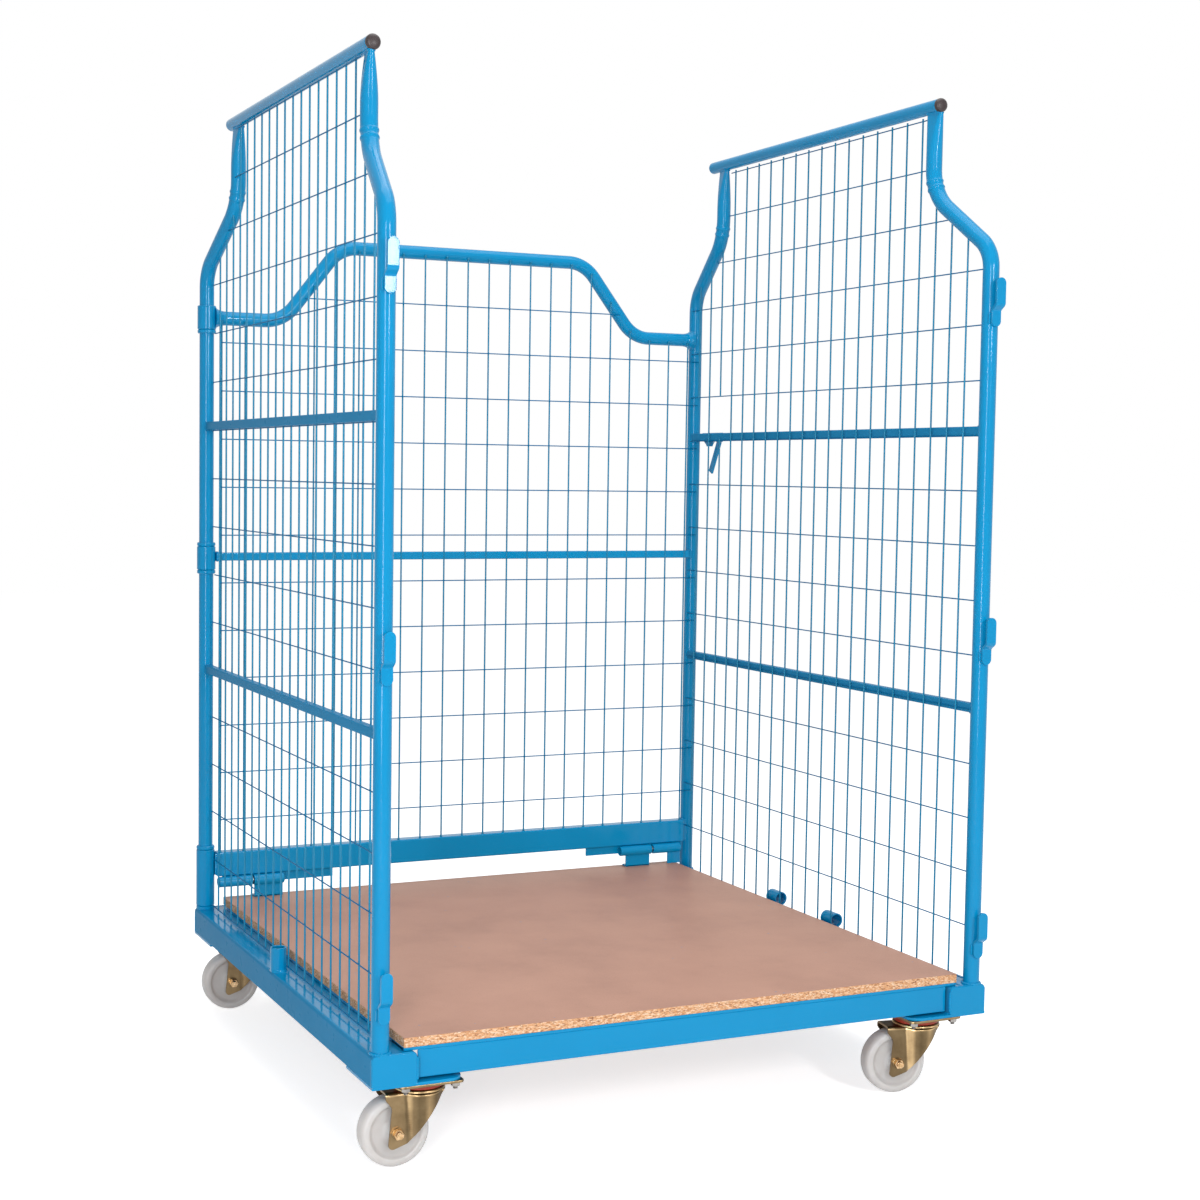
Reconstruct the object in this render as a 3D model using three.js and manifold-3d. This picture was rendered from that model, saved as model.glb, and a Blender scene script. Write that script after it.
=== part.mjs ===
// Roll cage container: a loading deck between two mesh side panels and a mesh back panel.
// Millimetres, +Z up. +X is to the right and +Y to the rear. The origin is on the floor, below the
// middle of the whole outline. Inside the code the rear posts stand at y = 0, and the last group
// moves everything to that origin.
import * as THREE from "three";
import { mergeVertices } from "three/addons/utils/BufferGeometryUtils.js";
import Module from "manifold-3d";

const wasm = await Module();
wasm.setup();

// Clearances
const touchGap = 0.3; // between welded neighbours with round or cut contact
const runGap = 0.4; // between parts that turn in each other
const cutOver = 1; // how far a cutting tool or a welded piece runs past the face that it meets

// Posts and side frames
const postDiameter = 30;
const postSpacing = 1156; // between the post axes, left to right
const panelDepth = 1098; // between the front and the rear post axes
const railBar = 17; // square bar of the side rails and of the middle rail
const lowerRailZ = 714;
const upperRailZ = 1221;
const railOverlap = 2.5; // how far the mesh plane lies inside the rails
const meshBite = 1; // how far the mesh plane lies outside the posts' inner tangent

// Necks of the side frames
const frontNeckInset = 151;
const rearNeckInset = 160;
const neckInward = 22;
const neckBendAngle = 53 * Math.PI / 180;
const lowerBendRadius = 65;
const upperBendRadius = 95;
const neckBendDrop = 115.5; // from the handle bars' axis down to where the neck is straight again
const bladeLength = 93.5; // from the same axis down to where the flattening starts
const bladeThickness = 10;
const bladeWidth = 38;
const bladeMidShare = 0.33; // how much of the flattening is reached halfway up

// Handle bars
const barDiameter = 25.5;
const barZ = 1824.5;
const barRearOverhang = 51;
const barFrontOverhang = 13;
const capLength = 10;
const capRimShare = 0.7; // share of the cap's length and radius where its dome starts

// Wire mesh
const wireDiameter = 3.5;
const wirePitch = 50;
const crossPitch = 100; // between the cross wires of the real mesh
const crossDrawn = 2; // every second cross wire is made here
const topWireDrop = 18.5; // from the handle bars' axis down to the side meshes' top wire
const crossTopDrop = 12.5; // from the same axis down to the start of the cross wire pattern
const backMeshTopZ = 1594.5;
const backFirstCross = 2;
const backLastCross = 12;
const wireOverhang = 5;
const backMeshGap = 0.25; // between the back mesh and the front faces of the posts
const wireStep = 0.5; // accuracy of an upright wire's upper end
const wireTail = 3; // how far an upright wire runs past the outermost cross wire
const crossInset = 0.25; // how much a cross wire's faces lie inside those of the upright wires

// Base rails
const railWidth = 77;
const railOuterOffset = 19; // from the post axis to the rail's outer face
const railHeight = 50;
const railWall = 3;
const railCorner = 5;
const railRearOverhang = 15;
const railFrontOverhang = 18;

// Mount plates and casters
const mountPlateThickness = 5;
const mountPlateWidth = 160;
const mountPlateLength = 128;
const mountPlateCorner = 25;
const casterHeadroom = 31; // from the wheel's top to the mount plate
const casterInset = 86; // from the post axis inward to the swivel axis
const casterFromPost = 49; // from the post axis to the swivel axis, front to back
const casterPlateWidth = 110;
const casterPlateLength = 135;
const casterPlateThickness = 4;
const casterTrail = 45;
const wheelDiameter = 118;
const wheelWidth = 36;
const wheelSides = 20;
const wheelSideGap = 3;
const hubRadius = 15;
const hubProud = 1;
const webHalf = 11;
const rimInnerRadius = 45;
const shoulderRadius = 54;
const webSlope = 4; // how much wider the recess is at the wheel's side than at its web
const treadChamfer = 7;
const axleDiameter = 12;
const boltHeadRadius = 10;
const boltHeadHeight = 6;
const forkWall = 3.5;
const crownDrop = 22; // from the plate down to the fork's crown
const crownRear = 66; // from the swivel axis to the crown's rear edge
const crownFront = 39;
const waistDrop = 30; // from the crown down to the leg's narrowest rear point
const waistRear = 10; // the leg's points from here on are measured from the axle
const heelRear = 15.6;
const heelDrop = 20;
const soleRear = 7;
const soleDrop = 26;
const toeFront = 17;
const toeDrop = 18;
const raceRadius = 37;
const frontRightTurn = -10 * Math.PI / 180; // how far the front right caster stands turned

// Back panel
const topRailDiameter = 29;
const topRailEndZ = 1445.5;
const humpZ = 1607;
const humpBendMid = 352; // distance of each bend's middle from the centre
const humpBendAngle = 52 * Math.PI / 180;
const humpBendRadius = 80;
const midRailZ = 949.5;
const beamHeight = 51;
const beamDepth = 30;
const beamZ = 299.5;
const beamFrontY = -22;
const beamMeshGap = 3; // between the beam's left end and the left panel's mesh
const beamBackset = 2; // how far the beam's right end lies behind the post's front

// Sleeves that the left rear post turns in
const sleeveWall = 3.8;
const upperSleeve = [1421, 1470];
const middleSleeve = [922, 971];
const lowerSleeve = [212, 331];
const stopRingHeight = 8;
const stopRingRadius = 19;

// Deck
const deckMeshGap = 22.25; // between the deck's side and the mesh
const deckFrontOverhang = 8; // from the front post axis forward
const deckTopZ = 226;
const boardThickness = 16;
const deckFlange = 5.5;
const deckFlangeWidth = 60;
const sideFlangeWidth = 90;
const beamRailGap = 4; // between the deck's beam and each base rail
const deckBeamDepth = 40;
const deckBeamWall = 4;
const deckBeamBottomZ = 158.3;
const crossMembers = 2;
const crossMemberWidth = 40;
const crossMemberHeight = 30;

// Deck hinges
const hingeY = -26;
const hingeZ = 263;
const barrelRadius = 11;
const hingePinRadius = 6;
const hingeStripThickness = 5;
const hingeStripHeight = 22;
const strapWidth = 59;
const strapThickness = 5;
const strapFoot = 20;
const strapFootThickness = 4;
const deckTailBehindHinge = 24;
const flangeTailInset = 4; // from the board's rear edge to the frame's
// Spans along the hinge line, measured inward from the post's axis
const leftHinge = { strip: [33, 277], fixed: [21, 81], moving: [84, 141] };
const rightHinge = { strip: [33, 277], fixed: [33, 104], moving: [109, 190] };
const pinInset = 3; // from a barrel's end to the pin's end
const barrelSeatDepth = 3; // how deep a barrel's web reaches into it
const barrelSeatHeight = 10;
const strapSeatDepth = 3; // how deep the deck's strap reaches into its barrel

// Hooks on the front posts
const hookWidth = 20;
const hookThickness = 5;
const hookLength = 87;
const hookTab = 28;
const hookJoggle = 11;
const hookOffset = 12.5;
const hookBendLag = 2; // how much lower the bends of the outer face are
const hookBottoms = { lower: 254, middle: 796, upper: 1408 };

// Small fittings on the base rails
const stubOuter = 30;
const stubInner = 24;
const stubHeight = 45;
const stubOutward = 4; // from the post axis plane outward
const eyeOuter = 30;
const eyeInner = 24;
const eyeLength = 38;
const eyeOutward = 5;
const frontEyeY = -620;
const rearEyeY = -402;

// Catch for the raised deck
const latchPivotY = -103;
const latchPivotDrop = 2; // below the middle of the upper rail
const latchLip = 3; // how far the bracket reaches below the rail
const latchNubDrop = 21; // from the rail's middle down to the nub's end
const latchPlate = 5;
const latchPinRadius = 4;
const latchPinProud = 3;
const latchLeverLength = 90;
const latchLeverWidth = 17;
const latchLeverAngle = 28 * Math.PI / 180;
const latchFrontY = -120;
const latchRearY = -32;
const latchNubY = -52;
const latchNub = 14;

// Smoothness of round parts
const tubeSides = 12;
const roundSides = 16;
const boltSides = 6;
const arcSteps = 4;

// Values worked out from the sizes above
const postRadius = postDiameter / 2;
const postX = postSpacing / 2;
const wireHalf = wireDiameter / 2;
const barRadius = barDiameter / 2;
const forkGap = wheelWidth + 2 * wheelSideGap;
const wheelRadius = wheelDiameter / 2;
const plateTopZ = wheelDiameter + casterHeadroom;
const mountPlateTopZ = plateTopZ + mountPlateThickness;
const railTopZ = mountPlateTopZ + railHeight;
const meshX = postX - postRadius + meshBite;
const sideRailX = meshX + railOverlap + railBar / 2;
const backMeshY = -postRadius - backMeshGap - wireHalf;
const sleeveBore = postRadius + runGap;
const sleeveRadius = sleeveBore + sleeveWall;
const sideWires = 2 * Math.floor((panelDepth / 2 - postDiameter) / wirePitch) + 1;
const backWires = 2 * Math.floor((postX - sleeveRadius - wireOverhang) / wirePitch) + 1;
const deckHalfWidth = meshX - wireHalf - deckMeshGap;
const deckBeamHalf = postX + railOuterOffset - railWidth - beamRailGap;
const deckFrontY = -panelDepth - deckFrontOverhang;
const boardBottomZ = deckTopZ - boardThickness;
const sideTopWireZ = barZ - topWireDrop;
const sideMeshTopZ = barZ - crossTopDrop;
const sideCrossWires = Math.floor((sideMeshTopZ - railTopZ - wireHalf - wireTail) / crossPitch);
const neckBendTopZ = barZ - neckBendDrop;
const bladeStartZ = barZ - bladeLength;
const beamBottomZ = beamZ - beamHeight / 2;
const beamTopZ = beamZ + beamHeight / 2;
const neckTopZ = barZ - barRadius - touchGap;
const hookFrontY = -panelDepth - postRadius - hookOffset - hookThickness;
const depthShift = -(hookFrontY + sleeveRadius) / 2;

const paint = { color: 0x1487c4, roughness: 0.35, metalness: 0.1 };
const boardFinish = { color: 0xb98f7d, roughness: 0.8, metalness: 0 };
const nylon = { color: 0xe4e1de, roughness: 0.5, metalness: 0 };
const yellowZinc = { color: 0xa98f5c, roughness: 0.35, metalness: 0.8 };
const blackPlastic = { color: 0x1c1a1c, roughness: 0.5, metalness: 0 };
const zinc = { color: 0xb9bcc0, roughness: 0.35, metalness: 0.9 };

// Joining and cutting of closed meshes

function toSolid(geometry) {
  const bare = geometry.clone();
  bare.deleteAttribute("normal");
  bare.deleteAttribute("uv");
  const merged = mergeVertices(bare, 1e-4);
  return new wasm.Manifold(new wasm.Mesh({
    numProp: 3,
    vertProperties: merged.attributes.position.array,
    triVerts: Uint32Array.from(merged.index.array),
  }));
}

function toGeometry(solid) {
  const mesh = solid.getMesh();
  const geometry = new THREE.BufferGeometry();
  geometry.setAttribute("position", new THREE.BufferAttribute(mesh.vertProperties, 3));
  geometry.setIndex(new THREE.BufferAttribute(mesh.triVerts, 1));
  geometry.computeVertexNormals();
  return geometry;
}

function join(geometries) {
  const solids = geometries.map(toSolid);
  let whole = solids[0];
  for (const solid of solids.slice(1)) {
    whole = whole.add(solid);
  }
  return toGeometry(whole);
}

function cut(geometry, tools) {
  let whole = toSolid(geometry);
  for (const tool of tools) {
    whole = whole.subtract(toSolid(tool));
  }
  return toGeometry(whole);
}

// Basic shapes, each placed by its own corners or ends

function block([x0, x1], [y0, y1], [z0, z1]) {
  const box = new THREE.BoxGeometry(x1 - x0, y1 - y0, z1 - z0);
  return box.translate((x0 + x1) / 2, (y0 + y1) / 2, (z0 + z1) / 2);
}

// A round bar between two points on a line along one axis
function bar(axis, from, to, [a, b], radius, sides = tubeSides) {
  const rod = new THREE.CylinderGeometry(radius, radius, Math.abs(to - from), sides);
  const middle = (from + to) / 2;
  if (axis === "x") {
    return rod.rotateZ(Math.PI / 2).translate(middle, a, b);
  }
  if (axis === "y") {
    return rod.translate(0, middle, 0).translate(a, 0, b);
  }
  return rod.rotateX(Math.PI / 2).translate(a, b, middle);
}

// A turned part from (radius, height) points that close on themselves
function turned(points, sides = roundSides) {
  const outline = points.map(([r, h]) => new THREE.Vector2(r, h));
  outline.push(outline[0].clone());
  return new THREE.LatheGeometry(outline, sides).rotateX(Math.PI / 2);
}

function pipe(outer, inner, [z0, z1], sides = roundSides) {
  return turned([[inner, z0], [outer, z0], [outer, z1], [inner, z1]], sides);
}

// A flat plate from an outline in x and y, thick from z0 to z1
function plate(shape, [z0, z1], curveSegments = arcSteps) {
  const options = { depth: z1 - z0, bevelEnabled: false, curveSegments };
  return new THREE.ExtrudeGeometry(shape, options).translate(0, 0, z0);
}

// A tube through stations, each with its centre, two directions and two half sizes
function sweep(stations, sides = tubeSides) {
  const positions = [];
  const index = [];
  for (const { centre, u, v, a, b } of stations) {
    for (let i = 0; i < sides; i += 1) {
      const turn = 2 * Math.PI * (i + 0.5) / sides;
      const point = centre.clone();
      point.addScaledVector(u, a * Math.cos(turn));
      point.addScaledVector(v, b * Math.sin(turn));
      positions.push(point.x, point.y, point.z);
    }
  }
  for (let s = 0; s + 1 < stations.length; s += 1) {
    for (let i = 0; i < sides; i += 1) {
      const next = (i + 1) % sides;
      const low = s * sides;
      const high = low + sides;
      index.push(low + i, low + next, high + next, low + i, high + next, high + i);
    }
  }
  const last = (stations.length - 1) * sides;
  for (let i = 1; i + 1 < sides; i += 1) {
    index.push(0, i + 1, i, last, last + i, last + i + 1);
  }
  const geometry = new THREE.BufferGeometry();
  geometry.setAttribute("position", new THREE.Float32BufferAttribute(positions, 3));
  geometry.setIndex(index);
  geometry.computeVertexNormals();
  return geometry;
}

// The scene graph

const cage = new THREE.Group();

function add(name, geometry, finish, parent = cage) {
  const mesh = new THREE.Mesh(geometry, new THREE.MeshStandardMaterial(finish));
  mesh.name = name;
  parent.add(mesh);
  return mesh;
}

// Outline of an S-bend that steps over by "inset" while it rises to "topZ"
function neckBend(inset) {
  const sine = Math.sin(neckBendAngle);
  const lost = 1 - Math.cos(neckBendAngle);
  const straight = (inset - (lowerBendRadius + upperBendRadius) * lost) / sine;
  const rise = (lowerBendRadius + upperBendRadius) * sine + straight * Math.cos(neckBendAngle);
  const startZ = neckBendTopZ - rise;
  const points = [];
  for (let i = 0; i <= arcSteps; i += 1) {
    const angle = neckBendAngle * i / arcSteps;
    points.push({
      s: lowerBendRadius * (1 - Math.cos(angle)),
      z: startZ + lowerBendRadius * Math.sin(angle),
      tilt: angle,
    });
  }
  for (let i = arcSteps; i >= 0; i -= 1) {
    const angle = neckBendAngle * i / arcSteps;
    points.push({
      s: inset - upperBendRadius * (1 - Math.cos(angle)),
      z: neckBendTopZ - upperBendRadius * Math.sin(angle),
      tilt: angle,
    });
  }
  return points;
}

// One upright of a side frame, from the base rail to the handle bar
function uprightStations(side, end) {
  const depthWay = end === "front" ? 1 : -1;
  const depthInset = end === "front" ? frontNeckInset : rearNeckInset;
  const inset = Math.hypot(depthInset, neckInward);
  const way = new THREE.Vector3(-side * neckInward, depthWay * depthInset, 0).normalize();
  const across = new THREE.Vector3(0, 0, 1).cross(way);
  const foot = new THREE.Vector3(side * postX, end === "front" ? -panelDepth : 0, 0);
  const profile = [
    { s: 0, z: railTopZ, tilt: 0 },
    ...neckBend(inset),
    { s: inset, z: bladeStartZ, tilt: 0 },
    { s: inset, z: (bladeStartZ + neckTopZ) / 2, tilt: 0, blade: bladeMidShare },
    { s: inset, z: neckTopZ, tilt: 0, blade: 1 },
  ];
  return profile.map(({ s, z, tilt, blade = 0 }) => ({
    centre: foot.clone().addScaledVector(way, s).setZ(z),
    u: way.clone().multiplyScalar(Math.cos(tilt)).setZ(-Math.sin(tilt)),
    v: across,
    a: postRadius + blade * (bladeWidth / 2 - postRadius),
    b: postRadius + blade * (bladeThickness / 2 - postRadius),
    tilt,
  }));
}

// Where the upright's axis is at a height, and how far it reaches front to back in the mesh plane
function uprightAt(stations, z) {
  let upper = stations.findIndex((station) => station.centre.z >= z);
  upper = Math.max(1, upper === -1 ? stations.length - 1 : upper);
  const low = stations[upper - 1];
  const high = stations[upper];
  const share = Math.min(1, Math.max(0, (z - low.centre.z) / (high.centre.z - low.centre.z)));
  const centre = low.centre.clone().lerp(high.centre, share);
  const halfDepth = THREE.MathUtils.lerp(low.a, high.a, share);
  const tilt = Math.max(low.tilt, high.tilt);
  const aside = Math.max(0, Math.abs(Math.abs(centre.x) - meshX) - wireHalf);
  const reach = Math.sqrt(Math.max(0, halfDepth ** 2 - aside ** 2)) / Math.cos(tilt) + touchGap;
  return { y: centre.y, reach };
}

// Heights at which the left rear post carries a sleeve or a stop ring
const sleeves = { upper: upperSleeve, middle: middleSleeve, lower: lowerSleeve };
const stopRings = [
  [upperSleeve[0] - stopRingHeight - touchGap, upperSleeve[0] - touchGap],
  [middleSleeve[0] - stopRingHeight - touchGap, middleSleeve[0] - touchGap],
  [middleSleeve[1] + touchGap, middleSleeve[1] + touchGap + stopRingHeight],
  [lowerSleeve[1] + touchGap, lowerSleeve[1] + touchGap + stopRingHeight],
  [railTopZ + touchGap, lowerSleeve[0] - touchGap],
];
const ringSpans = [...Object.values(sleeves), ...stopRings];

function sideMesh(side, front, rear) {
  const plane = [side * meshX - wireHalf, side * meshX + wireHalf];
  const crossPlane = [plane[0] + crossInset, plane[1] - crossInset];
  const middleY = -panelDepth / 2;
  const ringReach = Math.max(sleeveRadius, stopRingRadius) + runGap;
  const nearRing = (z) => ringSpans.some(([low, high]) => {
    return z > low - wireDiameter && z < high + wireDiameter;
  });
  const frontEnd = (z) => {
    const post = uprightAt(front, z);
    return post.y + post.reach;
  };
  const rearEnd = (z) => {
    const post = uprightAt(rear, z);
    return post.y - (side < 0 && nearRing(z) ? ringReach : post.reach);
  };
  const wires = [];
  const crossHeights = [sideTopWireZ];
  for (let j = crossDrawn; j <= sideCrossWires; j += crossDrawn) {
    crossHeights.push(sideMeshTopZ - crossPitch * j);
  }
  const bottomEnd = Math.min(...crossHeights) - wireHalf - wireTail;
  const topEnd = sideTopWireZ + wireHalf + wireTail;
  for (const z of crossHeights) {
    const ends = [z - wireHalf, z, z + wireHalf];
    const from = Math.max(...ends.map(frontEnd));
    const to = Math.min(...ends.map(rearEnd));
    wires.push(block(crossPlane, [from, to], [z - wireHalf, z + wireHalf]));
  }
  for (let i = 0; i < sideWires; i += 1) {
    const y = middleY + wirePitch * (i - (sideWires - 1) / 2);
    let top = neckBendTopZ - lowerBendRadius - upperBendRadius - 2 * postDiameter;
    while (top < topEnd && y - wireHalf > frontEnd(top) && y + wireHalf < rearEnd(top)) {
      top += wireStep;
    }
    top = top >= topEnd ? topEnd : top - 2 * wireStep;
    wires.push(block(plane, [y - wireHalf, y + wireHalf], [bottomEnd, top]));
  }
  return join(wires);
}

function sideFrame(side) {
  const word = side < 0 ? "left" : "right";
  const front = uprightStations(side, "front");
  const rear = uprightStations(side, "rear");
  add(`${word}_front_upright`, sweep(front), paint);
  const rings = stopRings.map(([low, high]) => {
    return bar("z", low, high, [side * postX, 0], stopRingRadius, roundSides);
  });
  const rearUpright = sweep(rear);
  add(`${word}_rear_upright`, side < 0 ? join([rearUpright, ...rings]) : rearUpright, paint);
  const neckX = side * (postX - neckInward);
  const barFrontY = -panelDepth + frontNeckInset - barFrontOverhang;
  const barRearY = -rearNeckInset + barRearOverhang;
  add(`${word}_top_bar`, bar("y", barFrontY, barRearY, [neckX, barZ], barRadius, roundSides), paint);
  const capRadius = barRadius + touchGap;
  const cap = turned([
    [0, 0],
    [capRadius, 0],
    [capRadius, capRimShare * capLength],
    [capRimShare * capRadius, capLength],
    [0, capLength],
  ]);
  cap.rotateX(Math.PI / 2).translate(neckX, barFrontY - touchGap, barZ);
  add(`${word}_bar_cap`, cap, blackPlastic);
  const railX = [side * sideRailX - railBar / 2, side * sideRailX + railBar / 2];
  const between = [-panelDepth, 0];
  for (const [level, z] of [["upper", upperRailZ], ["lower", lowerRailZ]]) {
    const rail = block(railX, between, [z - railBar / 2, z + railBar / 2]);
    const seats = [-panelDepth, 0].map((y) => {
      return bar("z", z - railBar, z + railBar, [side * postX, y], postRadius + touchGap, roundSides);
    });
    add(`${word}_${level}_rail`, cut(rail, seats), paint);
  }
  add(`${word}_mesh`, sideMesh(side, front, rear), paint);
}

// Base rail: a folded channel, open below, with closed ends and a softened outer edge
function baseRail(side) {
  const word = side < 0 ? "left" : "right";
  const outer = side * (postX + railOuterOffset);
  const inner = outer - side * railWidth;
  const [x0, x1] = [Math.min(outer, inner), Math.max(outer, inner)];
  const y = [-panelDepth - railFrontOverhang, railRearOverhang];
  const c = railCorner;
  const section = new THREE.Shape();
  section.moveTo(x0, 0);
  section.lineTo(x1, 0);
  section.lineTo(x1, railHeight - c);
  section.absarc(x1 - c, railHeight - c, c, 0, Math.PI / 2, false);
  section.lineTo(x0 + c, railHeight);
  section.absarc(x0 + c, railHeight - c, c, Math.PI / 2, Math.PI, false);
  const body = plate(section, [0, y[1] - y[0]]);
  body.rotateX(Math.PI / 2).translate(0, y[1], mountPlateTopZ);
  const inside = block(
    [x0 + railWall, x1 - railWall],
    [y[0] + railWall, y[1] - railWall],
    [mountPlateTopZ - cutOver, railTopZ - railWall],
  );
  add(`${word}_base_rail`, cut(body, [inside]), paint);
}

function mountPlate(side, end) {
  const word = `${side < 0 ? "left" : "right"}_${end}`;
  const outer = postX + railOuterOffset;
  const inner = outer - mountPlateWidth;
  const c = mountPlateCorner;
  const y0 = end === "front" ? -panelDepth - railFrontOverhang : railRearOverhang - mountPlateLength;
  const y1 = y0 + mountPlateLength;
  const shape = new THREE.Shape();
  shape.moveTo(outer, y0);
  shape.lineTo(outer, y1);
  shape.lineTo(inner + c, y1);
  shape.absarc(inner + c, y1 - c, c, Math.PI / 2, Math.PI, false);
  shape.lineTo(inner, y0 + c);
  shape.absarc(inner + c, y0 + c, c, Math.PI, 1.5 * Math.PI, false);
  const geometry = plate(shape, [plateTopZ, mountPlateTopZ]);
  if (side < 0) {
    geometry.rotateZ(Math.PI).translate(0, y0 + y1, 0);
  }
  add(`${word}_mount_plate`, geometry, paint);
}

// Casters

// One leg of the fork: from the crown down its rear edge, round the foot and up its slanted front
function forkLeg(y) {
  const crownZ = plateTopZ - crownDrop;
  const shape = new THREE.Shape();
  shape.moveTo(crownFront, crownZ);
  shape.lineTo(-crownRear, crownZ);
  shape.lineTo(-casterTrail - waistRear, crownZ - waistDrop);
  shape.lineTo(-casterTrail - heelRear, wheelRadius - heelDrop);
  shape.lineTo(-casterTrail - soleRear, wheelRadius - soleDrop);
  shape.lineTo(-casterTrail + toeFront, wheelRadius - toeDrop);
  return plate(shape, [0, forkWall]).rotateX(Math.PI / 2).translate(0, y, 0);
}

function caster(name, x, y, turn) {
  const spot = new THREE.Group();
  spot.position.set(x, y, 0);
  cage.add(spot);
  const halfPlate = [casterPlateWidth / 2, casterPlateLength / 2];
  add(`${name}_caster_plate`, block(
    [-halfPlate[0], halfPlate[0]],
    [-halfPlate[1], halfPlate[1]],
    [plateTopZ - casterPlateThickness, plateTopZ],
  ), yellowZinc, spot);
  const swivel = new THREE.Group();
  swivel.rotation.z = turn;
  spot.add(swivel);
  const crownZ = plateTopZ - crownDrop;
  const legY = forkGap / 2;
  const faceY = legY + forkWall;
  const boltY = faceY + boltHeadHeight;
  const axle = [-casterTrail, wheelRadius];
  const fork = join([
    bar("z", crownZ, plateTopZ - casterPlateThickness - touchGap, [0, 0], raceRadius, roundSides),
    block([-crownRear, crownFront], [-faceY, faceY], [crownZ - forkWall, crownZ]),
    forkLeg(faceY),
    forkLeg(-legY),
    bar("y", -boltY, boltY, axle, axleDiameter / 2),
    bar("y", -boltY, -faceY, axle, boltHeadRadius, boltSides),
    bar("y", faceY, boltY, axle, boltHeadRadius, boltSides),
  ]);
  add(`${name}_caster_fork`, fork, yellowZinc, swivel);
  const h = wheelWidth / 2;
  const r = wheelRadius / Math.cos(Math.PI / wheelSides);
  const bore = axleDiameter / 2 + runGap;
  const hub = h + hubProud;
  const profile = [
    [bore, -hub],
    [hubRadius, -hub],
    [hubRadius + webSlope, -webHalf],
    [rimInnerRadius - webSlope, -webHalf],
    [rimInnerRadius, -h],
    [shoulderRadius, -h],
    [r, -h + treadChamfer],
    [r, h - treadChamfer],
    [shoulderRadius, h],
    [rimInnerRadius, h],
    [rimInnerRadius - webSlope, webHalf],
    [hubRadius + webSlope, webHalf],
    [hubRadius, hub],
    [bore, hub],
  ];
  const wheel = turned(profile, wheelSides).rotateZ(Math.PI / wheelSides).rotateX(Math.PI / 2);
  wheel.translate(-casterTrail, 0, wheelRadius);
  add(`${name}_wheel`, wheel, nylon, swivel);
}

// Hooks on the front posts: a strip with a lower tab on the post and a raised upper part
function hook(side, level) {
  const word = side < 0 ? "left" : "right";
  const t = hookThickness;
  const shape = new THREE.Shape();
  shape.moveTo(0, 0);
  shape.lineTo(0, hookTab);
  shape.lineTo(hookOffset, hookTab + hookJoggle);
  shape.lineTo(hookOffset, hookLength);
  shape.lineTo(hookOffset + t, hookLength);
  shape.lineTo(hookOffset + t, hookTab + hookJoggle - hookBendLag);
  shape.lineTo(t, hookTab - hookBendLag);
  shape.lineTo(t, 0);
  const strip = plate(shape, [0, hookWidth]);
  // The outline's x runs forward, away from the post, and its y runs up
  const upright = new THREE.Matrix4().makeBasis(
    new THREE.Vector3(0, -1, 0),
    new THREE.Vector3(0, 0, 1),
    new THREE.Vector3(-1, 0, 0),
  );
  strip.applyMatrix4(upright);
  const y = -panelDepth - postRadius;
  strip.translate(side * postX + hookWidth / 2, y, hookBottoms[level]);
  add(`${word}_${level}_hook`, strip, paint);
}

// Back panel

function topRail() {
  const sine = Math.sin(humpBendAngle);
  const lost = 1 - Math.cos(humpBendAngle);
  const rise = humpZ - topRailEndZ;
  const straight = (rise - 2 * humpBendRadius * lost) / sine;
  const run = 2 * humpBendRadius * sine + straight * Math.cos(humpBendAngle);
  const half = [];
  const lowX = -humpBendMid - run / 2;
  const highX = -humpBendMid + run / 2;
  half.push({ x: -postX, z: topRailEndZ, tilt: 0 });
  for (let i = 0; i <= arcSteps; i += 1) {
    const angle = humpBendAngle * i / arcSteps;
    half.push({
      x: lowX + humpBendRadius * Math.sin(angle),
      z: topRailEndZ + humpBendRadius * (1 - Math.cos(angle)),
      tilt: angle,
    });
  }
  for (let i = arcSteps; i >= 0; i -= 1) {
    const angle = humpBendAngle * i / arcSteps;
    half.push({
      x: highX - humpBendRadius * Math.sin(angle),
      z: humpZ - humpBendRadius * (1 - Math.cos(angle)),
      tilt: angle,
    });
  }
  const other = half.toReversed().map(({ x, z, tilt }) => ({ x: -x, z, tilt: -tilt }));
  const radius = topRailDiameter / 2;
  const stations = [...half, ...other].map(({ x, z, tilt }) => ({
    centre: new THREE.Vector3(x, 0, z),
    u: new THREE.Vector3(0, 1, 0),
    v: new THREE.Vector3(-Math.sin(tilt), 0, Math.cos(tilt)),
    a: radius,
    b: radius,
  }));
  return sweep(stations);
}

// Tools that shape a back rail's ends to the sleeve on the left and the post on the right
function railSeats([low, high]) {
  return [
    bar("z", low, high, [-postX, 0], sleeveRadius + touchGap, 2 * roundSides),
    bar("z", low, high, [postX, 0], postRadius + touchGap, roundSides),
  ];
}

function backMesh() {
  const plane = [backMeshY - wireHalf, backMeshY + wireHalf];
  const crossPlane = [plane[0] + crossInset, plane[1] - crossInset];
  const edge = wirePitch * (backWires - 1) / 2 + wireOverhang;
  const wires = [];
  for (let i = backFirstCross; i <= backLastCross; i += crossDrawn) {
    const z = backMeshTopZ - crossPitch * i;
    wires.push(block([-edge, postX], crossPlane, [z - wireHalf, z + wireHalf]));
  }
  const bottom = beamTopZ + touchGap;
  const rise = humpZ - topRailEndZ;
  for (let i = 0; i < backWires; i += 1) {
    const x = wirePitch * (i - (backWires - 1) / 2);
    const innerX = humpBendMid - humpBendRadius;
    const outward = THREE.MathUtils.clamp((Math.abs(x) - innerX) / (2 * humpBendRadius), 0, 1);
    const top = topRailEndZ + rise * (1 + Math.cos(Math.PI * outward)) / 2;
    wires.push(block([x - wireHalf, x + wireHalf], plane, [bottom, top]));
  }
  return join(wires);
}

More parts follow.
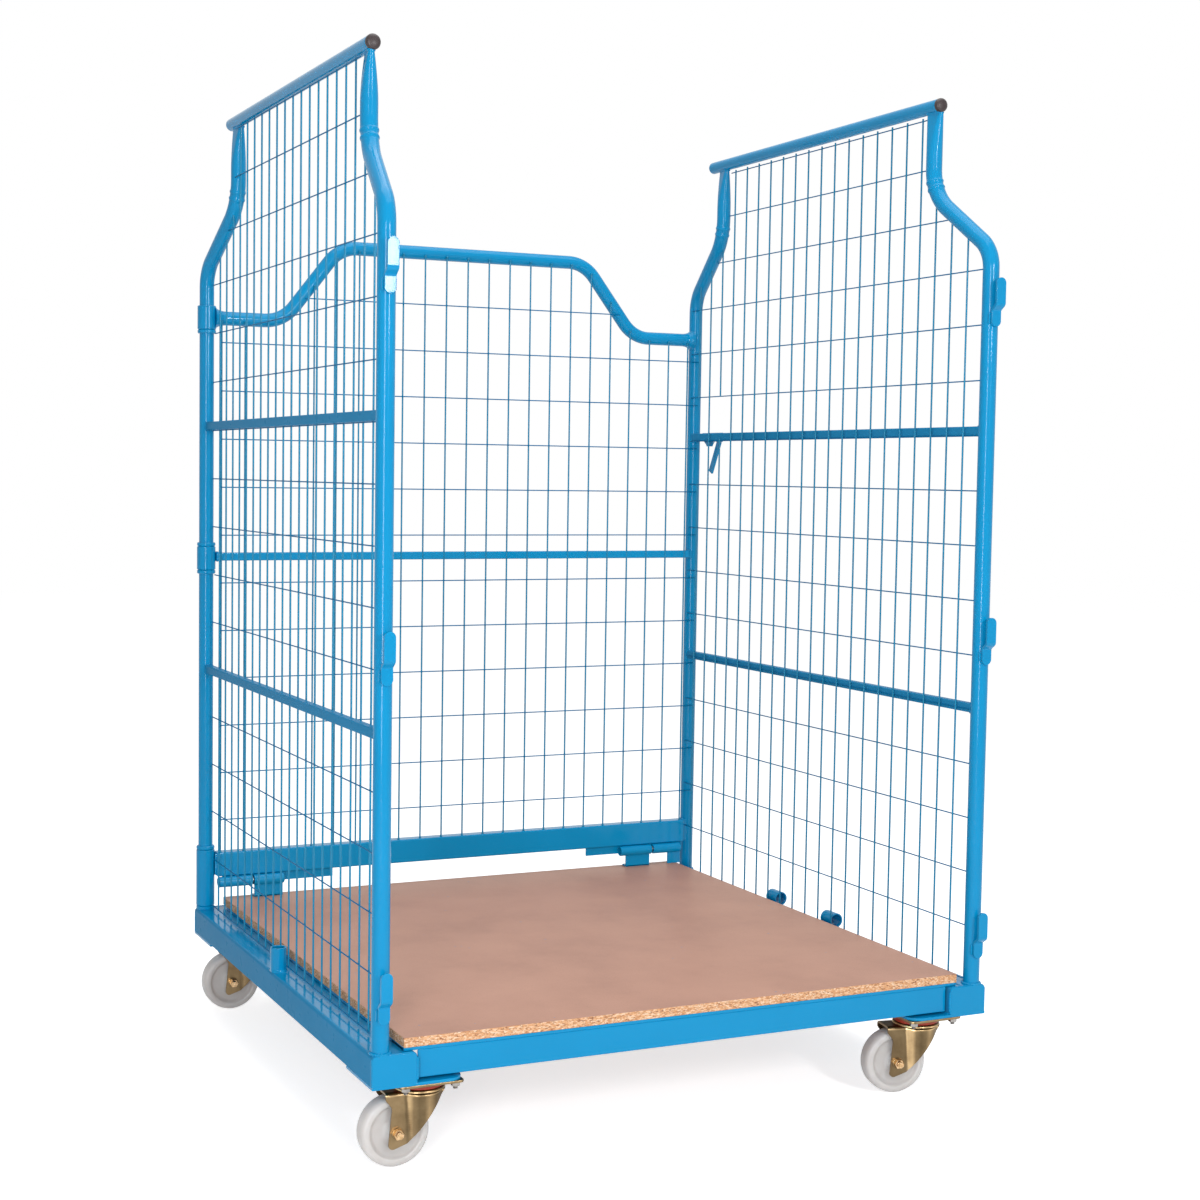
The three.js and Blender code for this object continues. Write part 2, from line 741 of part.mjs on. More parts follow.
function backPanel() {
  const tall = [topRailEndZ - topRailDiameter, topRailEndZ + topRailDiameter];
  add("back_top_rail", cut(topRail(), railSeats(tall)), paint);
  const midFrontY = -postRadius;
  const midRail = block(
    [-postX, postX],
    [midFrontY, midFrontY + railBar],
    [midRailZ - railBar / 2, midRailZ + railBar / 2],
  );
  add("back_mid_rail", cut(midRail, railSeats([midRailZ - railBar, midRailZ + railBar])), paint);
  const beamY = [beamFrontY, beamFrontY + beamDepth];
  const beam = block([-postX, postX], beamY, [beamBottomZ, beamTopZ]);
  const pastZ = [beamBottomZ - cutOver, beamTopZ + cutOver];
  const leftEnd = block(
    [-postX - cutOver, -meshX + wireHalf + beamMeshGap],
    [beamY[0] - cutOver, beamY[1] + cutOver],
    pastZ,
  );
  const rightNotch = block(
    [meshX - wireHalf - cutOver, postX + cutOver],
    [beamY[0] - cutOver, -postRadius + beamBackset],
    pastZ,
  );
  add("back_bottom_beam", cut(beam, [...railSeats(pastZ), leftEnd, rightNotch]), paint);
  add("back_mesh", backMesh(), paint);
  for (const [level, span] of Object.entries(sleeves)) {
    const sleeve = pipe(sleeveRadius, sleeveBore, span).translate(-postX, 0, 0);
    add(`${level}_sleeve`, sleeve, paint);
  }
}

// Deck and its hinges

function deck() {
  const rearY = hingeY + deckTailBehindHinge;
  add("deck_board", block(
    [-deckHalfWidth, deckHalfWidth],
    [deckFrontY, rearY],
    [boardBottomZ, deckTopZ],
  ), boardFinish);
  const top = boardBottomZ;
  const under = top - deckFlange;
  const flangeZ = [under, top];
  const rearFlangeY = [hingeY - deckFlangeWidth, rearY - flangeTailInset];
  const frame = [
    block([-deckHalfWidth, deckHalfWidth], [deckFrontY, deckFrontY + deckFlangeWidth], flangeZ),
    block([-deckBeamHalf, deckBeamHalf], rearFlangeY, flangeZ),
  ];
  for (const side of [-1, 1]) {
    const outer = side * deckHalfWidth;
    const inner = side * (deckHalfWidth - sideFlangeWidth);
    frame.push(block([Math.min(outer, inner), Math.max(outer, inner)], [deckFrontY, hingeY], flangeZ));
    const web = side * (deckBeamHalf - deckBeamWall);
    const face = side * deckBeamHalf;
    frame.push(block(
      [Math.min(web, face), Math.max(web, face)],
      [deckFrontY + deckBeamDepth + cutOver, rearFlangeY[0]],
      [under - crossMemberHeight, under],
    ));
  }
  for (let i = 1; i <= crossMembers; i += 1) {
    const y = deckFrontY + (hingeY - deckFrontY) * i / (crossMembers + 1);
    frame.push(block(
      [-deckBeamHalf + deckBeamWall, deckBeamHalf - deckBeamWall],
      [y - crossMemberWidth / 2, y + crossMemberWidth / 2],
      [under - crossMemberHeight, top],
    ));
  }
  add("deck_frame", join(frame), paint);
  const web = block(
    [-deckBeamHalf, deckBeamHalf],
    [deckFrontY, deckFrontY + deckBeamWall],
    [deckBeamBottomZ, under],
  );
  const lip = block(
    [-deckBeamHalf, deckBeamHalf],
    [deckFrontY, deckFrontY + deckBeamDepth],
    [deckBeamBottomZ, deckBeamBottomZ + deckBeamWall],
  );
  add("deck_front_beam", join([web, lip]), paint);
}

function barrel(span) {
  const tube = pipe(barrelRadius, hingePinRadius + runGap, span);
  return tube.rotateY(Math.PI / 2).translate(0, hingeY, hingeZ);
}

// The lower and upper x of a span that is measured inward from a post's axis
function inward(side, [near, far]) {
  return side < 0 ? [near - postX, far - postX] : [postX - far, postX - near];
}

// The hinge half under the back panel's beam, the deck's half and the pin through both
function deckHinge(word, side, spans) {
  const strip = inward(side, spans.strip);
  const fixed = inward(side, spans.fixed);
  const moving = inward(side, spans.moving);
  const stripFrontY = hingeY + barrelRadius + runGap;
  const stripRearY = stripFrontY + hingeStripThickness;
  const stripLowZ = beamBottomZ - hingeStripHeight;
  add(`${word}_hinge_strip`, join([
    block(strip, [stripFrontY, stripRearY], [stripLowZ, beamBottomZ]),
    block(
      fixed,
      [hingeY + barrelRadius - barrelSeatDepth, stripFrontY + cutOver],
      [hingeZ - barrelSeatHeight / 2, hingeZ + barrelSeatHeight / 2],
    ),
    barrel(fixed),
  ]), paint);
  const strapX = [moving[0], Math.min(moving[1], moving[0] + strapWidth)];
  const strapY = [hingeY - strapThickness / 2, hingeY + strapThickness / 2];
  add(`${word}_deck_hinge`, join([
    barrel(moving),
    block(strapX, strapY, [deckTopZ, hingeZ - barrelRadius + strapSeatDepth]),
    block(strapX, [strapY[0], strapY[0] + strapFoot], [deckTopZ, deckTopZ + strapFootThickness]),
  ]), paint);
  const pinStart = Math.min(fixed[0], moving[0]) + pinInset;
  const pinEnd = Math.max(fixed[1], moving[1]) - pinInset;
  add(`${word}_hinge_pin`, bar("x", pinStart, pinEnd, [hingeY, hingeZ], hingePinRadius), zinc);
}

// Small fittings

function fittings() {
  const stub = pipe(stubOuter / 2, stubInner / 2, [railTopZ, railTopZ + stubHeight]);
  add("coupling_stub", stub.translate(-postX - stubOutward, -panelDepth / 2, 0), paint);
  for (const [word, y] of [["front", frontEyeY], ["rear", rearEyeY]]) {
    const eye = pipe(eyeOuter / 2, eyeInner / 2, [-eyeLength / 2, eyeLength / 2]);
    eye.rotateZ(Math.PI / roundSides).rotateX(Math.PI / 2);
    eye.translate(postX + eyeOutward, y, railTopZ + eyeOuter / 2);
    add(`${word}_tow_eye`, eye, paint);
  }
}

// Catch on the right panel's upper rail, with its drop lever
function latch() {
  const railFaceX = sideRailX + railBar / 2;
  const pivotZ = upperRailZ - latchPivotDrop;
  const plateX = [railFaceX, railFaceX + latchPlate];
  const plateZ = [upperRailZ - railBar / 2 - latchLip, upperRailZ + railBar / 2];
  const nubY = [latchNubY - latchNub / 2, latchNubY + latchNub / 2];
  const pinX = [plateX[1] - cutOver, plateX[1] + latchPlate + latchPinProud];
  const bracket = join([
    block(plateX, [latchFrontY, latchRearY], plateZ),
    block(plateX, nubY, [upperRailZ - latchNubDrop, upperRailZ]),
    bar("x", pinX[0], pinX[1], [latchPivotY, pivotZ], latchPinRadius),
  ]);
  add("latch_bracket", bracket, paint);
  const half = latchLeverWidth / 2;
  const shape = new THREE.Shape();
  shape.moveTo(half, 0);
  shape.absarc(0, 0, half, 0, Math.PI, false);
  shape.lineTo(-half, -latchLeverLength);
  shape.lineTo(half, -latchLeverLength);
  const hole = new THREE.Path();
  hole.absarc(0, 0, latchPinRadius + runGap, 0, 2 * Math.PI, true);
  shape.holes.push(hole);
  const lever = plate(shape, [0, latchPlate], roundSides / 2);
  // The outline's x runs to the rear, its y runs up and its thickness runs outward
  const standing = new THREE.Matrix4().makeBasis(
    new THREE.Vector3(0, 1, 0),
    new THREE.Vector3(0, 0, 1),
    new THREE.Vector3(1, 0, 0),
  );
  lever.applyMatrix4(standing).rotateX(latchLeverAngle);
  lever.translate(plateX[1] + touchGap, latchPivotY, pivotZ);
  add("latch_lever", lever, paint);
}

for (const side of [-1, 1]) {
  sideFrame(side);
  baseRail(side);
  mountPlate(side, "front");
  mountPlate(side, "rear");
  for (const level of ["lower", "middle", "upper"]) {
    hook(side, level);
  }
}
backPanel();
deck();
deckHinge("left", -1, leftHinge);
deckHinge("right", 1, rightHinge);
fittings();
latch();

const casterX = postX - casterInset;
const frontCasterY = -panelDepth + casterFromPost;
const rearCasterY = -casterFromPost;
caster("front_left", -casterX, frontCasterY, 0);
caster("rear_left", -casterX, rearCasterY, 0);
caster("front_right", casterX, frontCasterY, frontRightTurn);
caster("rear_right", casterX, rearCasterY, 0);

cage.position.y = depthShift;

const rollCage = new THREE.Group();
rollCage.add(cage);

export default rollCage;
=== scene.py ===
"""Looks of the roll cage container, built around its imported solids.

Shapes are worked out in millimetres in the part's own axes: X to the right, Y to the rear with the
rear posts at y = 0, Z up from the floor. The last step of each piece turns them into metres in the
row frame.
"""

from math import atan, atan2, copysign, cos, exp, hypot, pi, radians, remainder, sin, sqrt

import bmesh
import bpy
from mathutils import Matrix, Vector, noise


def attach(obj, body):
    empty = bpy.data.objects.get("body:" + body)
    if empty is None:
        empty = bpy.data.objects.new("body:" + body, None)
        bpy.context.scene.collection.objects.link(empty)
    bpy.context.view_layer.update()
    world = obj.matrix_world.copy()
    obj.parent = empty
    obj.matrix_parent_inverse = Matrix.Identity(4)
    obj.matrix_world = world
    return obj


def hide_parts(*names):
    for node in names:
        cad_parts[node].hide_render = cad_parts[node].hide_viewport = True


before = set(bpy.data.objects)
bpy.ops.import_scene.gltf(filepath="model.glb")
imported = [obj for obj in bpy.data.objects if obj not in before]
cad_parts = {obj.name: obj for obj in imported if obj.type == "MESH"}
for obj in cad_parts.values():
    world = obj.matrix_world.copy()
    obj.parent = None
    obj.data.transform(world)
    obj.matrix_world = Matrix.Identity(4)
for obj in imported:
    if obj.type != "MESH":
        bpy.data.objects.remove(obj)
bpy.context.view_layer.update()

scene = bpy.context.scene
MM = 0.001
REAR_POST_Y = 0.55565  # the rear posts' place in the row frame

# Posts and side frames
POST_X = 578.0
POST_R = 15.0
DEPTH = 1098.0  # from the front to the rear posts
RAIL_TOP_Z = 204.0
RAIL_BAR = 17.0
SIDE_RAIL_X = 575.0
UPPER_RAIL_Z = 1221.0
LOWER_RAIL_Z = 714.0

# Necks and handle bars
FRONT_INSET = 151.0
REAR_INSET = 160.0
NECK_INWARD = 22.0
NECK_ANGLE = radians(53)
LOWER_BEND_R = 65.0
UPPER_BEND_R = 95.0
NECK_TOP_Z = 1709.0
CRIMPS_Z = (1672.0, 1685.0)
CRIMP_HEIGHT = 1.5
CRIMP_SPREAD = 2.6
BLADE_START_Z = 1731.0
BLADE_HALF_WIDTH = 19.0
BLADE_HALF_THICK = 5.0
BAR_R = 12.75
BAR_Z = 1824.5
BAR_FRONT_Y = -960.0
BAR_REAR_Y = -109.0

# Hooks on the front posts
HOOK_BOTTOMS = {"lower": 254.0, "middle": 796.0, "upper": 1408.0}
HOOK_LENGTH = 87.0
HOOK_FOOT = 28.0  # the length that lies on the post
HOOK_STEP = 13.0  # the length over which it steps outward
HOOK_OFFSET = 12.5
HOOK_THICK = 5.0
HOOK_HALF = 10.0

# Wire mesh
WIRE_R = 1.75
ROW_R = 1.2  # the level wires
WIRE_PITCH = 50.0
ROW_PITCH = 100.0
WIRE_TAIL = 4.5  # how far the upright wires go on below the last level one
WELD_DEPTH = 0.8  # how far a wire goes into what it is welded to
SIDE_WIRES = 21
SIDE_ROWS = 16
SIDE_TOP_ROW_Z = 1806.0
SIDE_ROW_ORIGIN_Z = 1812.0
SIDE_NECK_Z = 1489.0  # below it every upright wire is free of the necks
SIDE_WIRE_X = 562.6
SIDE_ROW_X = 565.5
CUT_ABOVE_Z = 1310.5
CUT_WIRES = {20: (1114.0, CUT_ABOVE_Z), 18: (UPPER_RAIL_Z - 4.0, CUT_ABOVE_Z)}  # round the catch
BACK_WIRES = 23
BACK_ROW_ORIGIN_Z = 1594.5
BACK_ROWS = 12
BACK_ROW_Y = -17.3
BACK_WIRE_Y = -14.6

# Base rails and mount plates
RAIL_OUTER_X = 597.0
RAIL_INNER_X = 520.0
RAIL_BOTTOM_Z = 154.0
RAIL_FRONT_Y = -1116.0
RAIL_REAR_Y = 15.0
RAIL_WALL = 3.0
RAIL_CORNER = 6.0
END_PLATE = 3.4
END_PLATE_CORNER = 8.0
PLATE_LOW_Z = 149.0
PLATE_WIDTH = 160.0
PLATE_LENGTH = 128.0
PLATE_CORNER = 25.0

# Sleeves and stop rings on the left rear post
SLEEVE_R = 19.2
SLEEVE_BORE_R = 15.4
SLEEVES = {"upper": (1421.0, 1470.0), "middle": (922.0, 971.0), "lower": (212.0, 331.0)}
STOP_RINGS = (
    (1412.7, 1420.7), (913.7, 921.7), (971.3, 979.3), (331.3, 339.3), (204.3, 211.7),
)
STOP_RING_R = 19.0
SLEEVE_CLEAR = 3.0  # what the mesh leaves free round the sleeves and rings

# Back panel
TOP_RAIL_R = 14.5
TOP_RAIL_END_Z = 1445.5
HUMP_Z = 1607.0
HUMP_BEND_MID = 352.0
HUMP_ANGLE = radians(52)
HUMP_BEND_R = 80.0
MID_RAIL_Z = 949.5
BEAM_LOW_Z = 274.0
BEAM_HIGH_Z = 325.0
BEAM_FRONT_Y = -22.0
BEAM_REAR_Y = 8.0
BEAM_SPAN = (-558.4, 559.6)
BEAM_TONGUE = (550.0, 571.0)  # its narrower right end, at the post

# Deck
DECK_HALF = 540.0
DECK_FRONT_Y = -1106.0
DECK_REAR_Y = -2.0
DECK_TOP_Z = 226.0
BOARD_LOW_Z = 210.0
FLANGE_LOW_Z = 204.5
FLANGE_INNER_X = 450.0
BEAM_HALF = 516.0
BEAM_BOTTOM_Z = 158.3
WEB_LOW_Z = 174.5
REAR_MEMBER_Y = (-86.0, -6.0)
MEMBER_HALF = 20.0
FRONT_FLANGE = 60.0
FRONT_LIP = 40.0
DECK_SHEET = 4.0  # the front beam's and the side webs' steel

# Deck hinges: the strip, the two barrels and the strap along X
HINGE_Y = -26.0
HINGE_Z = 263.0
BARREL_R = 11.0
BARREL_BORE_R = 6.4
BARREL_MOUTH_R = 9.0
PIN_R = 6.0
STRIP_DROP = 18.5
STRIP_THICK = 5.0
STRAP_THICK = 5.0
STRAP_FOOT = 20.0
HINGES = {
    "left": {
        "strip": (-545.0, -301.0), "fixed": (-557.0, -484.0),
        "moving": (-481.0, -415.0), "strap": (-479.0, -417.0),
    },
    "right": {
        "strip": (309.0, 559.0), "fixed": (474.0, 545.0),
        "moving": (389.0, 469.0), "strap": (405.0, 466.0),
    },
}
HINGE_FOOT = (514.0, 547.0)  # the small block under the right fixed barrel

# Casters: place and turn
CASTERS = {
    "front_left": (-492.0, -1049.0, 0.0),
    "rear_left": (-492.0, -49.0, 0.0),
    "front_right": (492.0, -1049.0, -10.0),
    "rear_right": (492.0, -49.0, 0.0),
}
WHEEL_R = 59.0
TRAIL = 45.0
CASTER_PLATE_LOW_Z = 145.0
CASTER_PLATE_HALF = (55.0, 67.5)
BOLT_X = 43.0
BOLT_Y = 54.0
CROWN_Z = 127.0
CROWN_REAR = 66.0
CROWN_FRONT = 39.0
LEDGE_Z = 115.0
WAIST_Z = 97.0
WAIST_REAR = 55.0
TOE_Z = WHEEL_R - 18.0
TOE_FRONT = -28.0
TOE_SLOPE = 3.0
HEEL_Z = 39.0
HEEL_REAR = 60.6
SOLE_Z = WHEEL_R - 26.0
SOLE_CORNER = 8.0
LEG_Y = 24.5
LEG_BEND = 6.5
BULGE_LOW_Z = 49.0
BULGE_R = 35.7  # at that height
BULGE_GROWTH = 3.8  # from there to the crown
SHEET = 3.5
AXLE_R = 5.9

# Small fittings
STUB_X = -582.0
EYE_X = 583.0
EYES_Y = {"front": -620.0, "rear": -402.0}
TUBE_R = 15.0
TUBE_BORE_R = 12.0
STUB_HEIGHT = 45.0
EYE_HALF = 19.0
CATCH_Y = -103.0
CATCH_Z = 1219.0
LEVER_ANGLE = radians(28)
LEVER_END_R = 8.5
LEVER_HOLE_R = 4.4

# Camera and light
CAMERA_PLACE = (-1.6026, -3.39965, 1.1339)
CAMERA_YAW = radians(24.645)
CAMERA_PITCH = radians(3.672)
CAMERA_ROLL = radians(-0.805)
CAMERA_LENS = 57.72
CAMERA_SHIFT = (0.0426, -0.003)
WORLD_LEVEL = 0.38
FLOOR_REACH = 14.0
FLOOR_COLOUR = (0.86, 0.86, 0.86)
FLOOR_GLOW = 0.67  # for rays that look at it; none for the light on the object


# Closed shapes: each is a list of points and a list of faces


def circle(radius, sides=24):
    """Points of a round section."""
    turns = [2 * pi * (i + 0.5) / sides for i in range(sides)]
    return [(radius * cos(t), radius * sin(t)) for t in turns]


def stadium(half_width, half_thick, sides=32):
    """Points of a flattened round section."""
    flat = half_width - half_thick
    return [(a + copysign(flat, a), b) for a, b in circle(half_thick, sides)]


def rounded_rect(half_a, half_b, corner, steps=4):
    """Points of a rectangle with round corners."""
    points = []
    for quarter, (sa, sb) in enumerate(((1, 1), (-1, 1), (-1, -1), (1, -1))):
        for i in range(steps + 1):
            t = pi / 2 * (quarter + i / steps)
            a = sa * (half_a - corner) + corner * cos(t)
            b = sb * (half_b - corner) + corner * sin(t)
            points.append((a, b))
    return points


def ring(centre, u, v, section):
    """A section placed in space on two directions."""
    return [centre + u * a + v * b for a, b in section]


def skin(rings, closed=False):
    """The closed surface over a row of rings."""
    count = len(rings[0])
    points = [p for r in rings for p in r]
    faces = []
    for s in range(len(rings) if closed else len(rings) - 1):
        low, high = s * count, (s + 1) % len(rings) * count
        for i in range(count):
            j = (i + 1) % count
            faces.append((low + i, low + j, high + j, high + i))
    if not closed:
        faces.append(tuple(reversed(range(count))))
        faces.append(tuple(range(len(points) - count, len(points))))
    return points, faces


def directions(path, closed=False):
    """Two directions across a path at each of its points, without twist."""
    count = len(path)
    tangents = []
    for i in range(count):
        before = path[(i - 1) % count] if closed else path[max(i - 1, 0)]
        after = path[(i + 1) % count] if closed else path[min(i + 1, count - 1)]
        tangents.append((after - before).normalized())
    helper = Vector((0, 0, 1)) if abs(tangents[0].z) < 0.9 else Vector((0, 1, 0))
    u = tangents[0].cross(helper).normalized()
    frames = []
    for tangent in tangents:
        u = (u - tangent * u.dot(tangent)).normalized()
        frames.append((u, tangent.cross(u)))
    return frames


def tube(path, radius, sides=20, end=0.0):
    """A round bar along a path, its ends rounded over the length "end"."""
    path = [Vector(p) for p in path]
    frames = directions(path)
    rings = [ring(p, u, v, circle(radius, sides)) for p, (u, v) in zip(path, frames)]
    if end > 0:
        for where, step in ((0, path[0] - path[1]), (-1, path[-1] - path[-2])):
            out = step.normalized()
            u, v = frames[where]
            caps = []
            for t in (radians(0), radians(25), radians(50), radians(72)):
                centre = path[where] - out * end * (1 - sin(t))
                caps.append(ring(centre, u, v, circle(radius - end * (1 - cos(t)), sides)))
            rings = rings[:-1] + caps if where else caps[::-1] + rings[1:]
    return skin(rings)


def bar(a, b, half_a, half_b, corner, u, end=0.6):
    """A straight bar of rectangular section with round corners and softened ends."""
    a, b, u = Vector(a), Vector(b), Vector(u)
    along = (b - a).normalized()
    v = along.cross(u)
    inner = rounded_rect(half_a - end, half_b - end, max(corner - end, 0.2))
    outer = rounded_rect(half_a, half_b, corner)
    return skin([
        ring(a, u, v, inner),
        ring(a + along * end, u, v, outer),
        ring(b - along * end, u, v, outer),
        ring(b, u, v, inner),
    ])


def turned(profile, sides=32, hollow=False):
    """A part turned round Z from (radius, height) points: solid, or a closed loop."""
    rings = [[Vector((a, b, z)) for a, b in circle(radius, sides)] for radius, z in profile]
    return skin(rings, closed=hollow)


def pipe(outer, inner, low, high, soft=0.8, sides=32):
    """A hollow turned part with softened rims."""
    profile = [
        (inner, low + soft), (inner + soft, low), (outer - soft, low), (outer, low + soft),
        (outer, high - soft), (outer - soft, high), (inner + soft, high), (inner, high - soft),
    ]
    return turned(profile, sides, hollow=True)


def slab(outline, low, high, soft, every_edge=False, segments=2):
    """A plate over an outline in X and Y, with its two rims or every edge rounded."""
    count = len(outline)
    mesh = bmesh.new()
    made = [mesh.verts.new((a, b, z)) for z in (low, high) for a, b in outline]
    mesh.faces.new(made[count - 1::-1])
    mesh.faces.new(made[count:])
    for i in range(count):
        j = (i + 1) % count
        mesh.faces.new([made[i], made[j], made[count + j], made[count + i]])
    mesh.normal_update()
    mesh.verts.index_update()
    edges = []
    for edge in mesh.edges:
        upright = (edge.verts[0].index < count) != (edge.verts[1].index < count)
        if every_edge or not upright:
            edges.append(edge)
    bmesh.ops.bevel(mesh, geom=edges, offset=soft, segments=segments, profile=0.5, affect="EDGES")
    mesh.verts.index_update()
    points = [v.co.copy() for v in mesh.verts]
    faces = [tuple(v.index for v in f.verts) for f in mesh.faces]
    mesh.free()
    return points, faces


def block(x, y, z, soft=0.8, segments=2):
    """A box between limits, with rounded edges."""
    corners = ((x[0], y[0]), (x[1], y[0]), (x[1], y[1]), (x[0], y[1]))
    return slab(corners, *z, soft, True, segments)


def moved(shape, matrix):
    """A shape put somewhere else."""
    points, faces = shape
    return [matrix @ p for p in points], faces


def shift(x, y, z):
    """The matrix of a move."""
    return Matrix.Translation((x, y, z))


def axes(origin, x, y, z):
    """The matrix that puts a shape's own axes on three directions at a point."""
    m = Matrix((x, y, z)).transposed().to_4x4()
    m.translation = Vector(origin)
    return m


def bead(path, radius, closed=False, ripple=4.0):
    """A weld bead: a wavy seam along a path."""
    path = [Vector(p) for p in path]
    if closed:
        path = path + [path[0]]
    fine = [path[0]]
    for a, b in zip(path, path[1:]):
        steps = max(1, round((b - a).length / 1.4))
        fine += [a.lerp(b, (i + 1) / steps) for i in range(steps)]
    if closed:
        fine.pop()
    frames = directions(fine, closed)
    rings = []
    run = 0.0
    for i, (p, (u, v)) in enumerate(zip(fine, frames)):
        run += (p - fine[i - 1]).length if i else 0.0
        wave = 0.14 * sin(2 * pi * run / ripple)
        uneven = 0.16 * noise.noise(p * 0.11)
        ending = 1.0 if closed or 0 < i < len(fine) - 1 else 0.55
        rings.append(ring(p, u, v, circle(radius * (1 + wave + uneven) * ending, 8)))
    return skin(rings, closed)


def round_path(centre, radius, count=28):
    """Points on a level circle."""
    x, y, z = centre
    return [(x + a, y + b, z) for a, b in circle(radius, count)]


def hexagon(radius, height, chamfer=0.9):
    """A nut or bolt head that stands on z = 0, its upper corners taken off."""
    corners = [2 * pi * i / 6 for i in range(6)]
    rows = ((radius, 0.0), (radius, height - chamfer), (radius - chamfer * 1.3, height))
    return skin([
        [Vector((r * cos(t), r * sin(t), h)) for t in corners] for r, h in rows
    ])


# Finishes


class Nodes:
    """The nodes of a material or of the world, round its own shader."""

    def __init__(self, owner, shader="Principled BSDF"):
        owner.use_nodes = True
        self.owner = owner
        self.nodes = owner.node_tree.nodes
        self.links = owner.node_tree.links
        self.shader = self.nodes[shader]

    def feed(self, node, values):
        """Set a node's inputs: each to a fixed value, or to another node's output."""
        for name, value in values.items():
            socket = node.inputs[name]
            if isinstance(value, bpy.types.NodeSocket):
                self.links.new(value, socket)
            elif socket.type == "RGBA":
                socket.default_value = (*value, 1.0)
            else:
                socket.default_value = value

    def shade(self, values):
        self.feed(self.shader, values)

    def add(self, kind, values, **settings):
        """The outputs of a new node."""
        node = self.nodes.new("ShaderNode" + kind)
        for name, value in settings.items():
            setattr(node, name, value)
        self.feed(node, values)
        return node.outputs

    def place(self, stretch=(1, 1, 1)):
        """The point on the piece in metres, stretched along the axes."""
        coords = self.add("TexCoord", {})
        return self.add("Mapping", {"Scale": stretch, "Vector": coords["Object"]})["Vector"]

    def noise(self, place, scale, detail=3.0, rough=0.55):
        values = {"Scale": scale, "Detail": detail, "Roughness": rough, "Vector": place}
        return self.add("TexNoise", values)["Fac"]

    def ramp(self, value, stops):
        """A colour or a grey level for each value, from stops of (value, colour or level)."""
        ramp = self.nodes.new("ShaderNodeValToRGB")
        elements = ramp.color_ramp.elements
        while len(elements) < len(stops):
            elements.new(0.5)
        for element, (at, colour) in zip(elements, stops):
            element.position = at
            element.color = (*(colour if isinstance(colour, tuple) else (colour,) * 3), 1.0)
        self.feed(ramp, {"Fac": value})
        return ramp.outputs["Color"]

    def drift(self, place, scale, low, high, detail=3.0):
        """Soft patches between two colours or two levels."""
        return self.ramp(self.noise(place, scale, detail), ((0.3, low), (0.7, high)))

    def bump(self, height, strength, distance):
        values = {"Strength": strength, "Distance": distance, "Height": height}
        self.shade({"Normal": self.add("Bump", values)["Normal"]})

    def mixed(self, share, first, second):
        return self.add("Mix", {"Factor": share, 6: first, 7: second}, data_type="RGBA")[2]

    def multiplied(self, first, second):
        values = {"Factor": 1.0, 6: first, 7: second}
        return self.add("Mix", values, data_type="RGBA", blend_type="MULTIPLY")[2]

    def facing(self, axis):
        """How far a surface faces along an axis: 0 against it, 0.5 across it and 1 along it."""
        normal = self.add("NewGeometry", {})["Normal"]
        along = self.add("SeparateXYZ", {"Vector": normal})[axis]
        return self.add("MapRange", {"From Min": -1.0, "Value": along})["Result"]

    def when_seen(self, unseen, seen):
        """One level where a camera, mirror or glass ray looks, and another for light on things."""
        path = self.add("LightPath", {})
        share = path["Is Camera Ray"]
        for ray in ("Is Glossy Ray", "Is Transmission Ray"):
            share = self.add("Math", {0: share, 1: path[ray]}, operation="MAXIMUM")[0]
        return self.add("MapRange", {"To Min": unseen, "To Max": seen, "Value": share})["Result"]


def new_finish(name):
    return Nodes(bpy.data.materials.new(name))


def paint_finish(name, dark, light, smoothest, roughest, reflective):
    """Powder coat: even colour, a slight orange peel and a soft gloss."""
    finish = new_finish(name)
    place = finish.place()
    finish.shade({
        "Base Color": finish.drift(place, 7.0, dark, light, 4.0),
        "Roughness": finish.drift(place, 45.0, smoothest, roughest),
        "Specular IOR Level": reflective,
    })
    finish.bump(finish.noise(place, 520.0, 2.0), 0.035, 0.0002)
    return finish.owner


def board_finish():
    """Brown phenolic film on the board, with fine mottling and rare flecks of blue paint."""
    finish = new_finish("board_film")
    place = finish.place()
    base = finish.ramp(finish.noise(place, 5.0, 5.0, 0.6), (
        (0.25, (0.440, 0.222, 0.152)),
        (0.5, (0.515, 0.265, 0.182)),
        (0.75, (0.560, 0.293, 0.204)),
    ))
    grain = finish.noise(place, 420.0, 3.0, 0.7)
    mottling = finish.ramp(grain, ((0.30, 0.72), (0.42, 1.0), (0.62, 1.0), (0.74, 1.16)))
    shaded = finish.multiplied(base, mottling)
    cells = finish.add("TexVoronoi", {"Scale": 34.0, "Vector": finish.place((1.0, 2.2, 1.0))})
    small = finish.ramp(cells["Distance"], ((0.05, 1.0), (0.10, 0.0)))
    rare = finish.ramp(finish.noise(place, 9.0, 1.0), ((0.60, 0.0), (0.64, 1.0)))
    fleck = finish.add("Math", {0: small, 1: rare}, operation="MULTIPLY")[0]
    finish.shade({
        "Base Color": finish.mixed(fleck, shaded, (0.03, 0.25, 0.50)),
        "Roughness": 0.42,
        "Specular IOR Level": 0.22,
    })
    finish.bump(grain, 0.08, 0.0002)
    return finish.owner


